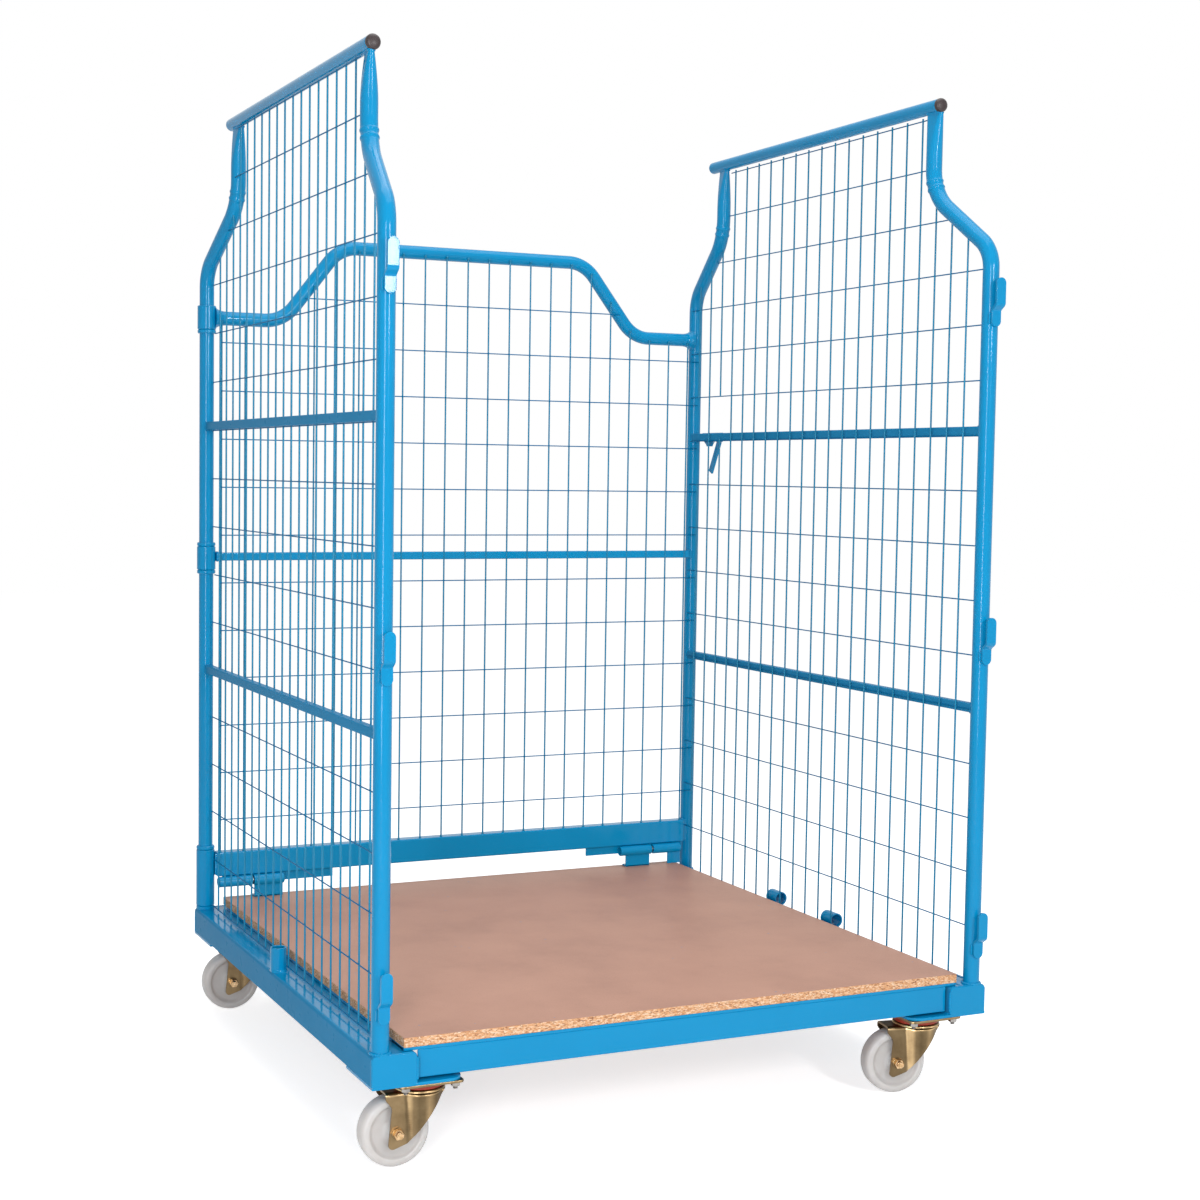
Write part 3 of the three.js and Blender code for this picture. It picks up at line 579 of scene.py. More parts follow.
def chip_finish():
    """Sawn edge of the particle board: pale and orange chips with dark gaps."""
    finish = new_finish("board_edge")
    place = finish.place((0.45, 0.45, 1.0))
    chips = finish.add("TexVoronoi", {"Scale": 620.0, "Randomness": 1.0, "Vector": place})
    shade_of_chip = finish.add("SeparateColor", {"Color": chips["Color"]})["Red"]
    colour = finish.ramp(shade_of_chip, (
        (0.0, (0.26, 0.100, 0.045)),
        (0.12, (0.50, 0.230, 0.105)),
        (0.5, (0.66, 0.350, 0.170)),
        (0.8, (0.74, 0.470, 0.290)),
        (1.0, (0.80, 0.610, 0.440)),
    ))
    gaps = finish.ramp(finish.noise(place, 700.0, 2.0), ((0.28, 0.35), (0.40, 1.0)))
    finish.shade({"Base Color": finish.multiplied(colour, gaps), "Roughness": 0.8})
    finish.bump(chips["Distance"], 0.5, 0.0008)
    return finish.owner


# Painted highlights on the gold parts, by the way they face: a painted pale streak on the left
# flank of a fork's bulge and on its crest, and painted highlights on upward bends
PAINTED_HIGHLIGHT_ACROSS = (
    (0.0, 1.0), (0.12, 2.6), (0.17, 2.4), (0.23, 1.0), (0.34, 0.65),
    (0.46, 0.85), (0.56, 1.7), (0.72, 0.75), (1.0, 0.4),
)
PAINTED_HIGHLIGHT_UPWARD = ((0.30, 0.5), (0.48, 1.0), (0.52, 1.0), (0.64, 3.0), (0.90, 1.4), (1.0, 0.8))


def yellow_zinc_finish():
    """Yellow chromated steel: satin gold with olive and brown clouds and painted highlights."""
    finish = new_finish("yellow_zinc")
    place = finish.place()
    colour = finish.ramp(finish.noise(place, 26.0, 5.0, 0.6), (
        (0.25, (0.125, 0.084, 0.042)),
        (0.5, (0.190, 0.132, 0.068)),
        (0.75, (0.255, 0.182, 0.098)),
    ))
    # Painted highlights: the colour is made paler or darker by the way the surface faces
    for axis, stops in (("X", PAINTED_HIGHLIGHT_ACROSS), ("Z", PAINTED_HIGHLIGHT_UPWARD)):
        colour = finish.multiplied(colour, finish.ramp(finish.facing(axis), stops))
    finish.shade({
        "Base Color": colour,
        "Metallic": 1.0,
        "Roughness": finish.drift(place, 160.0, 0.30, 0.38),
    })
    finish.bump(finish.noise(place, 900.0, 2.0), 0.1, 0.0002)
    return finish.owner


def plain_finish(name, dark, light, patches, grain, numbers):
    """Soft patches of two colours, with a fine grain.

    patches: their scale and detail. grain: its scale, detail, strength and depth in metres.
    """
    finish = new_finish(name)
    place = finish.place()
    scale, detail = patches
    finish.shade({"Base Color": finish.drift(place, scale, dark, light, detail), **numbers})
    scale, detail, strength, depth = grain
    finish.bump(finish.noise(place, scale, detail), strength, depth)
    return finish.owner


def zinc_finish(name, dark, light, scale, roughness):
    numbers = {"Metallic": 1.0, "Roughness": roughness}
    return plain_finish(name, dark, light, (scale, 3.0), (700.0, 2.0, 0.1, 0.0002), numbers)


def plastic_finish(name, dark, light, roughness):
    grain = (1100.0, 2.0, 0.2, 0.0002)
    return plain_finish(name, dark, light, (90.0, 3.0), grain, {"Roughness": roughness})


PAINT = paint_finish(
    "blue_paint", (0.0012, 0.240, 0.490), (0.0018, 0.257, 0.520), 0.10, 0.14, 0.17)
# A darker, duller copy of the blue paint for the rails' sides: painted shade
SHADED_RAIL_PAINT = paint_finish(
    "shaded_rail_paint", (0.016, 0.215, 0.430), (0.022, 0.232, 0.460), 0.26, 0.34, 0.01)
# A darker copy of the blue paint for the wires: painted shade
SHADED_WIRE_PAINT = paint_finish(
    "shaded_wire_paint", (0.006, 0.200, 0.365), (0.010, 0.220, 0.395), 0.20, 0.26, 0.2)
# A still darker copy of the blue paint for the level wires: painted shade
SHADED_ROW_PAINT = paint_finish(
    "shaded_cross_wire_paint", (0.001, 0.138, 0.315), (0.002, 0.153, 0.345), 0.26, 0.32, 0.02)
FILM = board_finish()
CHIPS = chip_finish()
GOLD = yellow_zinc_finish()
# A lighter copy of the yellow zinc for the axle nuts, thread ends and axle: painted highlight
PAINTED_HIGHLIGHT_GOLD = zinc_finish(
    "painted_highlight_yellow_zinc", (0.42, 0.250, 0.110), (0.78, 0.560, 0.330), 160.0, 0.2)
ZINC = zinc_finish("zinc", (0.24, 0.225, 0.21), (0.38, 0.36, 0.34), 120.0, 0.28)
NYLON = plain_finish(
    "white_nylon", (0.540, 0.515, 0.500), (0.590, 0.568, 0.556), (30.0, 4.0),
    (380.0, 3.0, 0.12, 0.0003), {
        "Roughness": 0.42,
        "Subsurface Weight": 0.8,
        "Subsurface Radius": (1.0, 0.9, 0.85),
        "Subsurface Scale": 0.045,
    })
BLACK = plastic_finish("black_plastic", (0.022, 0.013, 0.014), (0.034, 0.021, 0.022), 0.42)
SEAL = plastic_finish("red_seal", (0.30, 0.026, 0.010), (0.40, 0.040, 0.014), 0.5)


# Objects


def to_row(p):
    """A point of the part, in metres in the row frame."""
    return Vector((p[0] * MM, p[1] * MM + REAR_POST_Y, p[2] * MM))


def placed(obj):
    scene.collection.objects.link(obj)
    return obj


def piece(name, shapes, body, nodes=(), finish=PAINT, slot="blue_paint", sharp=35.0, finishes=()):
    """One object from closed shapes. A shape may be a pair (shape, number of its finish)."""
    mesh = bmesh.new()
    for entry in shapes:
        shape, number = entry if isinstance(entry[1], int) else (entry, 0)
        points, faces = shape
        made = [mesh.verts.new(to_row(p)) for p in points]
        for face in faces:
            made_face = mesh.faces.new([made[i] for i in face])
            made_face.material_index = number
            made_face.smooth = True
    bmesh.ops.recalc_face_normals(mesh, faces=mesh.faces)
    data = bpy.data.meshes.new(name)
    mesh.to_mesh(data)
    mesh.free()
    data.set_sharp_from_angle(angle=radians(sharp))
    for material in (finish, *finishes):
        data.materials.append(material)
    obj = placed(bpy.data.objects.new(name, data))
    even = obj.modifiers.new("even_normals", "WEIGHTED_NORMAL")
    even.keep_sharp = True
    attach(obj, body)
    if nodes:
        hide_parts(*nodes)
    return obj


def panel_body(side):
    """The body that the panel of a side belongs to."""
    return "left_side" if side < 0 else "frame"


def side_piece(side, name, shapes, node, *looks, **more):
    """A piece of a side panel, which replaces one node."""
    word = "left" if side < 0 else "right"
    return piece(f"{word}_{name}", shapes, panel_body(side), [f"{word}_{node}"], *looks, **more)


# Side panels


def s_bend(step, angle, first, second):
    """(step over, way along, tilt) along a bend and its counter bend, each a (radius, steps)."""
    (radius, steps), (other_radius, other_steps) = first, second
    both = radius + other_radius
    straight = (step - both * (1 - cos(angle))) / sin(angle)
    run = both * sin(angle) + straight * cos(angle)
    points = []
    for i in range(steps + 1):
        t = angle * i / steps
        points.append((radius * (1 - cos(t)), radius * sin(t), t))
    for i in range(other_steps, -1, -1):
        t = angle * i / other_steps
        over = step - other_radius * (1 - cos(t))
        points.append((over, run - other_radius * sin(t), t))
    return points


def neck_profile(inset):
    """(step over, height, tilt) along the S-bend of an upright."""
    bend = s_bend(inset, NECK_ANGLE, (LOWER_BEND_R, 18), (UPPER_BEND_R, 60))
    start = NECK_TOP_Z - bend[-1][1]
    return [(step, start + along, tilt) for step, along, tilt in bend]


def crimp(z):
    """How far the two crimp ridges stand out of the neck at a height."""
    return CRIMP_HEIGHT * sum(exp(-((z - at) / CRIMP_SPREAD) ** 2) for at in CRIMPS_Z)


def post_stations(side, end):
    """Places along an upright: centre, two directions, half sizes and tilt."""
    front = (1, -DEPTH, FRONT_INSET)
    way_y, foot_y, inset_y = front if end == "front" else (-1, 0.0, REAR_INSET)
    inset = hypot(inset_y, NECK_INWARD)
    way = Vector((-side * NECK_INWARD, way_y * inset_y, 0)).normalized()
    across = Vector((0, 0, 1)).cross(way)
    foot = Vector((side * POST_X, foot_y, 0))
    top_z = BAR_Z - BAR_R + 2.0
    blade = top_z - BLADE_START_Z
    profile = [(0.0, RAIL_TOP_Z - 0.5, 0.0)] + neck_profile(inset) + [(inset, BLADE_START_Z, 0.0)]
    profile += [(inset, BLADE_START_Z + blade * i / 12, 0.0) for i in range(1, 13)]
    stations = []
    for s, z, tilt in profile:
        share = min(1.0, max(0.0, (z - BLADE_START_Z) / blade)) ** 1.6
        stations.append({
            "centre": foot + way * s + Vector((0, 0, z)),
            "u": way * cos(tilt) - Vector((0, 0, sin(tilt))),
            "v": across,
            "a": POST_R + share * (BLADE_HALF_WIDTH - POST_R) + crimp(z),
            "b": POST_R + share * (BLADE_HALF_THICK - POST_R) + crimp(z),
            "tilt": tilt,
        })
    return stations


def post_at(stations, z, x):
    """Where an upright's axis is at a height, and how far it reaches front to back at |X| = x."""
    for low, high in zip(stations, stations[1:]):
        if high["centre"].z >= z:
            break
    share = min(1.0, max(0.0, (z - low["centre"].z) / (high["centre"].z - low["centre"].z)))
    centre = low["centre"].lerp(high["centre"], share)
    half = low["a"] + (high["a"] - low["a"]) * share
    aside = abs(abs(centre.x) - x)
    reach = sqrt(max(0.0, half ** 2 - aside ** 2)) / cos(max(low["tilt"], high["tilt"]))
    return centre.y, reach


def upright_wire(x, y, low, high):
    return tube([(x, y, low), (x, y, high)], WIRE_R, 10, 0.5)


def level_wire(a, b):
    """A thinner wire, in the second finish of its piece."""
    return tube([a, b], ROW_R, 10, 0.5), 1


def side_mesh(side, front, rear):
    """The welded wires of a side panel: upright wires inside, level wires outside."""
    ringed = [*SLEEVES.values(), *STOP_RINGS] if side < 0 else []

    def limits(z, x):
        y_front, reach_front = post_at(front, z, x)
        y_rear, reach_rear = post_at(rear, z, x)
        if any(low - 4.5 < z < high + 4.5 for low, high in ringed):
            reach_rear = SLEEVE_R + SLEEVE_CLEAR
        return y_front + reach_front - WELD_DEPTH, y_rear - reach_rear + WELD_DEPTH

    wires = []
    rows = [SIDE_ROW_ORIGIN_Z - ROW_PITCH * j for j in range(1, SIDE_ROWS + 1)]
    for z in [SIDE_TOP_ROW_Z] + rows:
        starts, stops = zip(*(limits(z + off, SIDE_ROW_X) for off in (-WIRE_R, WIRE_R)))
        x = side * SIDE_ROW_X
        wires.append(level_wire((x, max(starts), z), (x, min(stops), z)))
    foot = rows[-1] - WIRE_TAIL
    for i in range(SIDE_WIRES):
        y = -DEPTH / 2 + WIRE_PITCH * (i - (SIDE_WIRES - 1) / 2)
        top = SIDE_NECK_Z
        while top < SIDE_TOP_ROW_Z + 4.0:
            start, stop = limits(top, SIDE_WIRE_X)
            if not start - WIRE_R < y < stop + WIRE_R:
                break
            top += 1.0
        spans = [(foot, top)]
        if side > 0 and i in CUT_WIRES:
            below, above = CUT_WIRES[i]
            spans = [(foot, below), (above, top)]
        wires += [upright_wire(side * SIDE_WIRE_X, y, low, high) for low, high in spans]
    return wires


def side_rail(side, z):
    """A square rail between two posts, with the weld seams round its ends."""
    x = side * SIDE_RAIL_X
    half = RAIL_BAR / 2
    shapes = [bar((x, -DEPTH + 6, z), (x, -6, z), half, half, 2.4, (1, 0, 0))]
    for post_y, way in ((-DEPTH, 1), (0.0, -1)):
        path = []
        for a, b in rounded_rect(half + 0.3, half + 0.3, 2.6, 3):
            aside = min(abs(abs(x + a) - POST_X), POST_R - 0.5)
            surface = sqrt(POST_R ** 2 - aside ** 2)
            path.append((x + a, post_y + way * (surface + 0.6), z + b))
        shapes.append(bead(path, 1.5, closed=True))
    return shapes


def stop_ring(side, low, high):
    profile = [(POST_R - 1, low), (STOP_RING_R - 1.6, low), (STOP_RING_R, low + 1.6)]
    profile += [(STOP_RING_R, high - 1.6), (STOP_RING_R - 1.6, high), (POST_R - 1, high)]
    return moved(turned(profile, 32, hollow=True), shift(side * POST_X, 0, 0))


def post(side, end, foot_y, places):
    """An upright with the weld seams at its foot and under the handle bar."""
    shapes = [skin([ring(s["centre"], s["u"], s["v"], stadium(s["a"], s["b"])) for s in places])]
    foot = (side * POST_X, foot_y, RAIL_TOP_Z + 0.6)
    shapes.append(bead(round_path(foot, POST_R + 1.0), 2.6, closed=True))
    top = places[-1]
    across = top["u"] * (BLADE_HALF_WIDTH - 3)
    down = Vector((0, 0, -1.6))
    for way in (-1, 1):
        out = top["v"] * way * BLADE_HALF_THICK
        ends = [top["centre"] + across + out + down, top["centre"] - across + out + down]
        shapes.append(bead(ends, 2.2))
    if side < 0 and end == "rear":
        shapes += [stop_ring(side, low, high) for low, high in STOP_RINGS]
    side_piece(side, f"{end}_post", shapes, f"{end}_upright")


def handle_bar(side):
    x = side * (POST_X - NECK_INWARD)
    handle = tube([(x, BAR_FRONT_Y, BAR_Z), (x, BAR_REAR_Y, BAR_Z)], BAR_R, 32, 3.0)
    side_piece(side, "handle_bar", [handle], "top_bar")
    profile = [
        (0.4, 0.0), (BAR_R - 0.2, 0.0), (BAR_R + 0.25, 0.7), (BAR_R + 0.25, 4.2),
        (BAR_R - 0.6, 6.6), (BAR_R - 2.8, 8.6), (BAR_R - 6.5, 9.7), (0.4, 10.0),
    ]
    forward = axes((x, BAR_FRONT_Y - 0.1, BAR_Z), (1, 0, 0), (0, 0, 1), (0, -1, 0))
    cap = moved(turned(profile), forward)
    side_piece(side, "end_cap", [cap], "bar_cap", BLACK, "black_plastic")


def side_panel(side):
    stations = {end: post_stations(side, end) for end in ("front", "rear")}
    post(side, "front", -DEPTH, stations["front"])
    post(side, "rear", 0.0, stations["rear"])
    handle_bar(side)
    for level, z in (("upper", UPPER_RAIL_Z), ("lower", LOWER_RAIL_Z)):
        # The rails take the darker copy of the blue paint: painted shade
        side_piece(side, f"{level}_side_rail", side_rail(side, z), f"{level}_rail", SHADED_RAIL_PAINT)
    wires = side_mesh(side, stations["front"], stations["rear"])
    # The wires take darker copies of the blue paint: painted shade
    side_piece(side, "wires", wires, "mesh", SHADED_WIRE_PAINT, sharp=60.0, finishes=(SHADED_ROW_PAINT,))


def arc(centre, radius, start, step, count):
    """Points on an arc, from an angle in steps of so many degrees."""
    turns = [radians(start + step * i) for i in range(count)]
    return [(centre[0] + radius * cos(t), centre[1] + radius * sin(t)) for t in turns]


def channel_section():
    """Outline of the folded channel in X and Z: up the inner side, over, and back within."""
    outer, inner = RAIL_OUTER_X, RAIL_INNER_X
    low, bend_z = RAIL_BOTTOM_Z, RAIL_TOP_Z - RAIL_CORNER
    left, right = (inner + RAIL_CORNER, bend_z), (outer - RAIL_CORNER, bend_z)
    within = RAIL_CORNER - RAIL_WALL
    return [
        (inner + 0.6, low), (inner, low + 0.6),
        *arc(left, RAIL_CORNER, 180, -15, 7), *arc(right, RAIL_CORNER, 90, -15, 7),
        (outer, low + 0.6), (outer - 0.6, low), (outer - RAIL_WALL, low),
        *arc(right, within, 0, 30, 4), *arc(left, within, 90, 30, 4),
        (inner + RAIL_WALL, low),
    ]


def end_plate_outline():
    low, bend_z = RAIL_BOTTOM_Z, RAIL_TOP_Z - END_PLATE_CORNER
    right, left = RAIL_OUTER_X - END_PLATE_CORNER, RAIL_INNER_X + END_PLATE_CORNER
    points = [(RAIL_INNER_X, low), (RAIL_OUTER_X, low)]
    points += arc((right, bend_z), END_PLATE_CORNER, 0, 15, 7)
    return points + arc((left, bend_z), END_PLATE_CORNER, 90, 15, 7)


def base_rail(side):
    """The folded channel with its two end plates and their weld seams."""
    mirror = Matrix.Diagonal((side, 1, 1, 1))
    section = channel_section()
    ends = (RAIL_FRONT_Y + 2.6, RAIL_REAR_Y - 2.6)
    rings = [[Vector((x, y, z)) for x, z in section] for y in ends]
    shapes = [(moved(skin(rings), mirror), 0)]
    outline = end_plate_outline()
    middle = (RAIL_OUTER_X + RAIL_INNER_X) / 2
    for y, way in ((RAIL_FRONT_Y, 1), (RAIL_REAR_Y, -1)):
        stand = axes((0, y, 0), (1, 0, 0), (0, 0, 1), (0, way, 0))
        plate = moved(slab(outline, 0.0, END_PLATE, 1.3), stand)
        behind = y + way * 3.6
        seam = [(x - copysign(0.7, x - middle), behind, z - 0.5) for x, z in outline[1:-1]]
        heights = (RAIL_BOTTOM_Z + 5, RAIL_TOP_Z - 8)
        edge = [(RAIL_INNER_X - 0.3, y + way * 1.0, z) for z in heights]
        for shape in (plate, bead(seam, 1.5), bead(edge, 2.5, ripple=7.0)):
            shapes.append((moved(shape, mirror), 1))
    channel = side_piece(side, "channel", shapes, "base_rail", SHADED_RAIL_PAINT, finishes=(PAINT,))
    # Upward faces keep the lighter blue paint, the sides its darker copy: painted shade
    for face in channel.data.polygons:
        if face.normal.z > 0.8:
            face.material_index = 1


def mount_plate(side, end):
    """The plate under a base rail that carries a caster, with its weld seams."""
    y0 = RAIL_FRONT_Y if end == "front" else RAIL_REAR_Y - PLATE_LENGTH
    y1 = y0 + PLATE_LENGTH
    corner_x = RAIL_OUTER_X - PLATE_WIDTH + PLATE_CORNER
    outline = [(RAIL_OUTER_X, y0), (RAIL_OUTER_X, y1)]
    for centre_y, start in ((y1 - PLATE_CORNER, 90), (y0 + PLATE_CORNER, 180)):
        outline += arc((corner_x, centre_y), PLATE_CORNER, start, 11.25, 9)
    mirror = Matrix.Diagonal((side, 1, 1, 1))
    shapes = [moved(slab(outline, PLATE_LOW_Z, RAIL_BOTTOM_Z + 0.2, 0.8), mirror)]
    seam_y = y0 + 1.4 if end == "front" else y1 - 1.4
    xs = (side * (RAIL_INNER_X + 2), side * (RAIL_OUTER_X - 2))
    shapes.append(bead([(x, seam_y, RAIL_BOTTOM_Z) for x in xs], 1.4))
    x = side * (RAIL_INNER_X - 0.6)
    for low, high in ((y0 + 4, y0 + 34), (y1 - 34, y1 - 4)):
        shapes.append(bead([(x, y, RAIL_BOTTOM_Z + 0.6) for y in (low, high)], 2.0))
    side_piece(side, f"{end}_plate", shapes, f"{end}_mount_plate")


def hook(side, level, bottom):
    """A strip with round ends: its foot lies on the post and its upper part stands off."""
    front = -DEPTH - POST_R
    heights = [0.15, 0.6, 1.4, 2.6, 4.2, 6.4, 9.0, 14.0, 20.0]
    heights += [HOOK_FOOT - 4 + (HOOK_STEP + 6) * i / 10 for i in range(11)]
    heights += [50.0, 60.0, 70.0, 78.0, 80.6, 82.8, 84.4, 85.6, 86.4, 86.85]
    rings = []
    for h in heights:
        t = min(1.0, max(0.0, (h - HOOK_FOOT) / HOOK_STEP))
        stand = HOOK_OFFSET * t * t * (3 - 2 * t)
        lean = atan(HOOK_OFFSET * 6 * t * (1 - t) / HOOK_STEP)
        from_end = min(h, HOOK_LENGTH - h)
        width = HOOK_HALF
        if from_end < HOOK_HALF:
            width = sqrt(max(0.01, HOOK_HALF ** 2 - (HOOK_HALF - from_end) ** 2))
        section = rounded_rect(width, HOOK_THICK / 2, min(0.9, width * 0.4), 2)
        centre = Vector((side * POST_X, front - HOOK_THICK / 2 - stand, bottom + h))
        through = Vector((0, cos(lean), sin(lean)))
        rings.append(ring(centre, Vector((1, 0, 0)), through, section))
    shapes = [skin(rings)]
    for way in (-1, 1):
        x = side * POST_X + way * (HOOK_HALF + 0.2)
        seam = [(x, front + 2.6, z) for z in (bottom + 6, bottom + HOOK_FOOT - 3)]
        shapes.append(bead(seam, 2.2))
    side_piece(side, f"{level}_hook_strip", shapes, f"{level}_hook")


# Casters


def leg_limits(z):
    """Rear and front edge of a fork leg at a height, in the caster's own X."""
    above = z - TOE_Z
    if z >= LEDGE_Z:
        back = -CROWN_REAR
    elif z >= WAIST_Z:
        share = (LEDGE_Z - z) / (LEDGE_Z - WAIST_Z)
        back = -CROWN_REAR + (CROWN_REAR - WAIST_REAR) * sin(pi / 2 * share)
    else:
        share = (WAIST_Z - z) / (WAIST_Z - HEEL_Z)
        back = -WAIST_REAR - (HEEL_REAR - WAIST_REAR) * share
    if z < SOLE_Z + SOLE_CORNER:
        rise = SOLE_Z + SOLE_CORNER - z
        back += SOLE_CORNER - sqrt(max(0.0, SOLE_CORNER ** 2 - rise ** 2))
    if above < 0:
        front = TOE_FRONT + above * TOE_SLOPE
    else:
        front = TOE_FRONT + above * (CROWN_FRONT - TOE_FRONT) / (CROWN_Z - TOE_Z)
    return back, max(back + 0.6, front)


def bulge(x, z):
    """How far a fork leg swells out round the swivel axis, blended smoothly into the flat leg."""
    big = BULGE_R + BULGE_GROWTH * (z - BULGE_LOW_Z) / (CROWN_Z - BULGE_LOW_Z)
    soft = 3.0
    round_y = sqrt(max(0.0, big ** 2 - x ** 2))
    blended = 0.5 * (LEG_Y + round_y + sqrt((round_y - LEG_Y) ** 2 + soft))
    return max(0.0, blended - LEG_Y - soft / 24)


def fork_sheet():
    """The pressed fork: two legs joined by the crown, bulged round the swivel axis."""
    rows = [(LEG_Y, SOLE_Z + h, 0.0) for h in (0.2, 0.6, 1.4, 2.6, 4.2, 6.0, 8.0, 11.0, 14.0)]
    low = SOLE_Z + 18.0
    steps = 18
    rows += [(LEG_Y, low + (CROWN_Z - LEG_BEND - low) * i / steps, 0.0) for i in range(steps + 1)]
    for i in range(1, 6):
        t = pi / 2 * i / 5
        y = LEG_Y - LEG_BEND + LEG_BEND * cos(t)
        rows.append((y, CROWN_Z - LEG_BEND + LEG_BEND * sin(t), t))
    rows += [(y, CROWN_Z, pi / 2) for y in (12.0, 6.0, 0.0)]
    half_rows = [(-y, z, t, -1) for y, z, t in rows]
    other = [(y, z, t, 1) for y, z, t in reversed(rows[:-1])]
    columns = 56
    rings = []
    for y, z, t, way in half_rows + other:
        x0, x1 = leg_limits(min(z, CROWN_Z))
        normal = Vector((0, way * cos(t), sin(t)))
        outer = []
        for i in range(columns + 1):
            x = x0 + (x1 - x0) * i / columns
            outer.append(Vector((x, y + way * bulge(x, z) * cos(t), z)))
        inner = [place - normal * SHEET for place in outer]
        rings.append(outer + inner[::-1])
    return skin(rings)


def bolt_end(radius, shank, root, first, pitch, tip, sides):
    """A smooth shank up to a height, three ridges over the root radius, and a chamfered tip."""
    outline = [(0.4, 1.0), (radius, 1.0), (radius, shank)]
    for i in range(3):
        outline += [(root, first + pitch * i), (radius, first + pitch / 2 + pitch * i)]
    return turned(outline + [tip, (0.4, tip[1] + 0.4)], sides)


def plate_bolt():
    """A washer, nut and bolt end, from z = 0 upward."""
    end = bolt_end(3.9, 8.6, 3.5, 9.0, 1.2, (3.2, 12.2), 16)
    nut = moved(hexagon(7.6, 6.6), shift(0, 0, 1.6))
    return [pipe(8.6, 4.2, -0.05, 1.6, 0.4, 24), nut, end]


def axle_end(nut_height):
    """Washer, nut and threaded end of the axle bolt: (closed shape, number of its finish)."""
    end = bolt_end(5.4, 9.0, 4.3, 9.8, 2.0, (4.4, 15.8), 20)
    # The nut and thread end take the lighter copy of the yellow zinc: painted highlight
    nut = moved(hexagon(9.2, nut_height, 1.2), shift(0, 0, 1.4))
    return [(pipe(9.8, 5.6, -0.05, 1.5, 0.4, 28), 0), (nut, 1), (end, 1)]


def caster_plate(name, body, spot):
    """The top plate with its ball race, and the four bolts that hold it."""
    low = CASTER_PLATE_LOW_Z
    race = [
        (12.0, low + 0.2), (36.5, low + 0.2), (36.5, low - 1.4),
        (34.0, low - 2.8), (12.0, low - 2.8),
    ]
    plate = slab(rounded_rect(*CASTER_PLATE_HALF, 9.0, 5), low, PLATE_LOW_Z, 0.7)
    shapes = [moved(plate, spot), moved(turned(race, 40), spot)]
    piece(f"{name}_top_plate", shapes, body, [f"{name}_caster_plate"], GOLD, "yellow_zinc")
    bolts = []
    for sx in (-1, 1):
        for sy in (-1, 1):
            hole = spot @ shift(sx * BOLT_X, sy * BOLT_Y, low)
            hole = hole @ Matrix.Rotation(pi, 4, "X")
            hole = hole @ Matrix.Rotation(0.4 * sx + 0.9 * sy, 4, "Z")
            bolts += [moved(shape, hole) for shape in plate_bolt()]
    piece(f"{name}_plate_bolts", bolts, body, (), ZINC, "zinc")


def fork(name, body, spot):
    """The fork with its cup, king pin and axle bolt."""
    cup = [
        (0.6, -0.6), (43.4, -0.6), (43.2, 1.2), (42.2, 2.8), (40.4, 3.8), (34.0, 4.1), (0.6, 4.1),
    ]
    pin = [
        (0.6, -12.0), (8.0, -12.0), (9.4, -10.6), (9.4, -6.0),
        (12.5, -5.8), (12.5, -3.0), (0.6, -3.0),
    ]
    crown = spot @ shift(0, 0, CROWN_Z)
    shapes = [(moved(fork_sheet(), spot), 0)]
    shapes += [(moved(turned(cup, 48), crown), 0), (moved(turned(pin, 24), crown), 0)]
    for way, nut_height in ((-1, 8.0), (1, 6.6)):
        place = (-TRAIL, way * LEG_Y, WHEEL_R)
        outward = spot @ axes(place, (1, 0, 0), (0, 0, way), (0, way, 0))
        shapes += [(moved(shape, outward), number) for shape, number in axle_end(nut_height)]
    rod = tube([(-TRAIL, -LEG_Y, WHEEL_R), (-TRAIL, LEG_Y, WHEEL_R)], AXLE_R, 20)
    shapes.append((moved(rod, spot), 1))
    nodes = [f"{name}_caster_fork"]
    piece(f"{name}_fork", shapes, body, nodes, GOLD, "yellow_zinc", finishes=(PAINTED_HIGHLIGHT_GOLD,))


def wheel(name, body, spot):
    half = [
        (6.4, 19.0), (13.6, 19.0), (15.0, 18.4), (16.4, 15.6), (18.4, 13.0), (21.5, 11.6),
        (26.0, 11.0), (38.0, 11.0), (41.0, 11.6), (43.2, 13.4), (44.6, 15.8), (46.0, 17.4),
        (48.0, 18.0), (51.5, 18.0), (54.6, 17.2), (56.8, 15.2), (58.2, 12.2), (58.8, 8.5),
        (WHEEL_R, 4.0),
    ]
    profile = [(r, -h) for r, h in half] + [(r, h) for r, h in reversed(half)]
    axle = spot @ axes((-TRAIL, 0, WHEEL_R), (1, 0, 0), (0, 0, 1), (0, -1, 0))
    shape = moved(turned(profile, 72, hollow=True), axle)
    piece(f"{name}_tyre_and_hub", [shape], body, [f"{name}_wheel"], NYLON, "white_nylon")


def caster(name, x, y, turn):
    spot = shift(x, y, 0)
    turned_spot = spot @ Matrix.Rotation(radians(turn), 4, "Z")
    caster_plate(name, panel_body(x), spot)
    low = CASTER_PLATE_LOW_Z
    seal = [
        (30.0, low - 13.8), (40.6, low - 13.8), (41.8, low - 12.6),
        (41.8, low - 4.0), (40.6, low - 2.9), (30.0, low - 2.9),
    ]
    shape = moved(turned(seal, 40, hollow=True), turned_spot)
    piece(f"{name}_seal_ring", [shape], f"{name}_swivel", (), SEAL, "black_plastic")
    fork(name, f"{name}_swivel", turned_spot)
    wheel(name, f"{name}_roller", turned_spot)


# Back panel


def hump_path():
    """The top rail's axis in X and Z: level, up over the hump and down again."""
    bend = s_bend(HUMP_Z - TOP_RAIL_END_Z, HUMP_ANGLE, (HUMP_BEND_R, 16), (HUMP_BEND_R, 16))
    start = -HUMP_BEND_MID - bend[-1][1] / 2
    half = [(-POST_X + 4, TOP_RAIL_END_Z)]
    half += [(start + along, TOP_RAIL_END_Z + rise) for rise, along, _ in bend]
    return half + [(-x, z) for x, z in reversed(half)]


def rail_height(path, x):
    """Height of the top rail's axis at a place."""
    for (x0, z0), (x1, z1) in zip(path, path[1:]):
        if x0 <= x <= x1:
            return z0 + (z1 - z0) * (x - x0) / (x1 - x0)


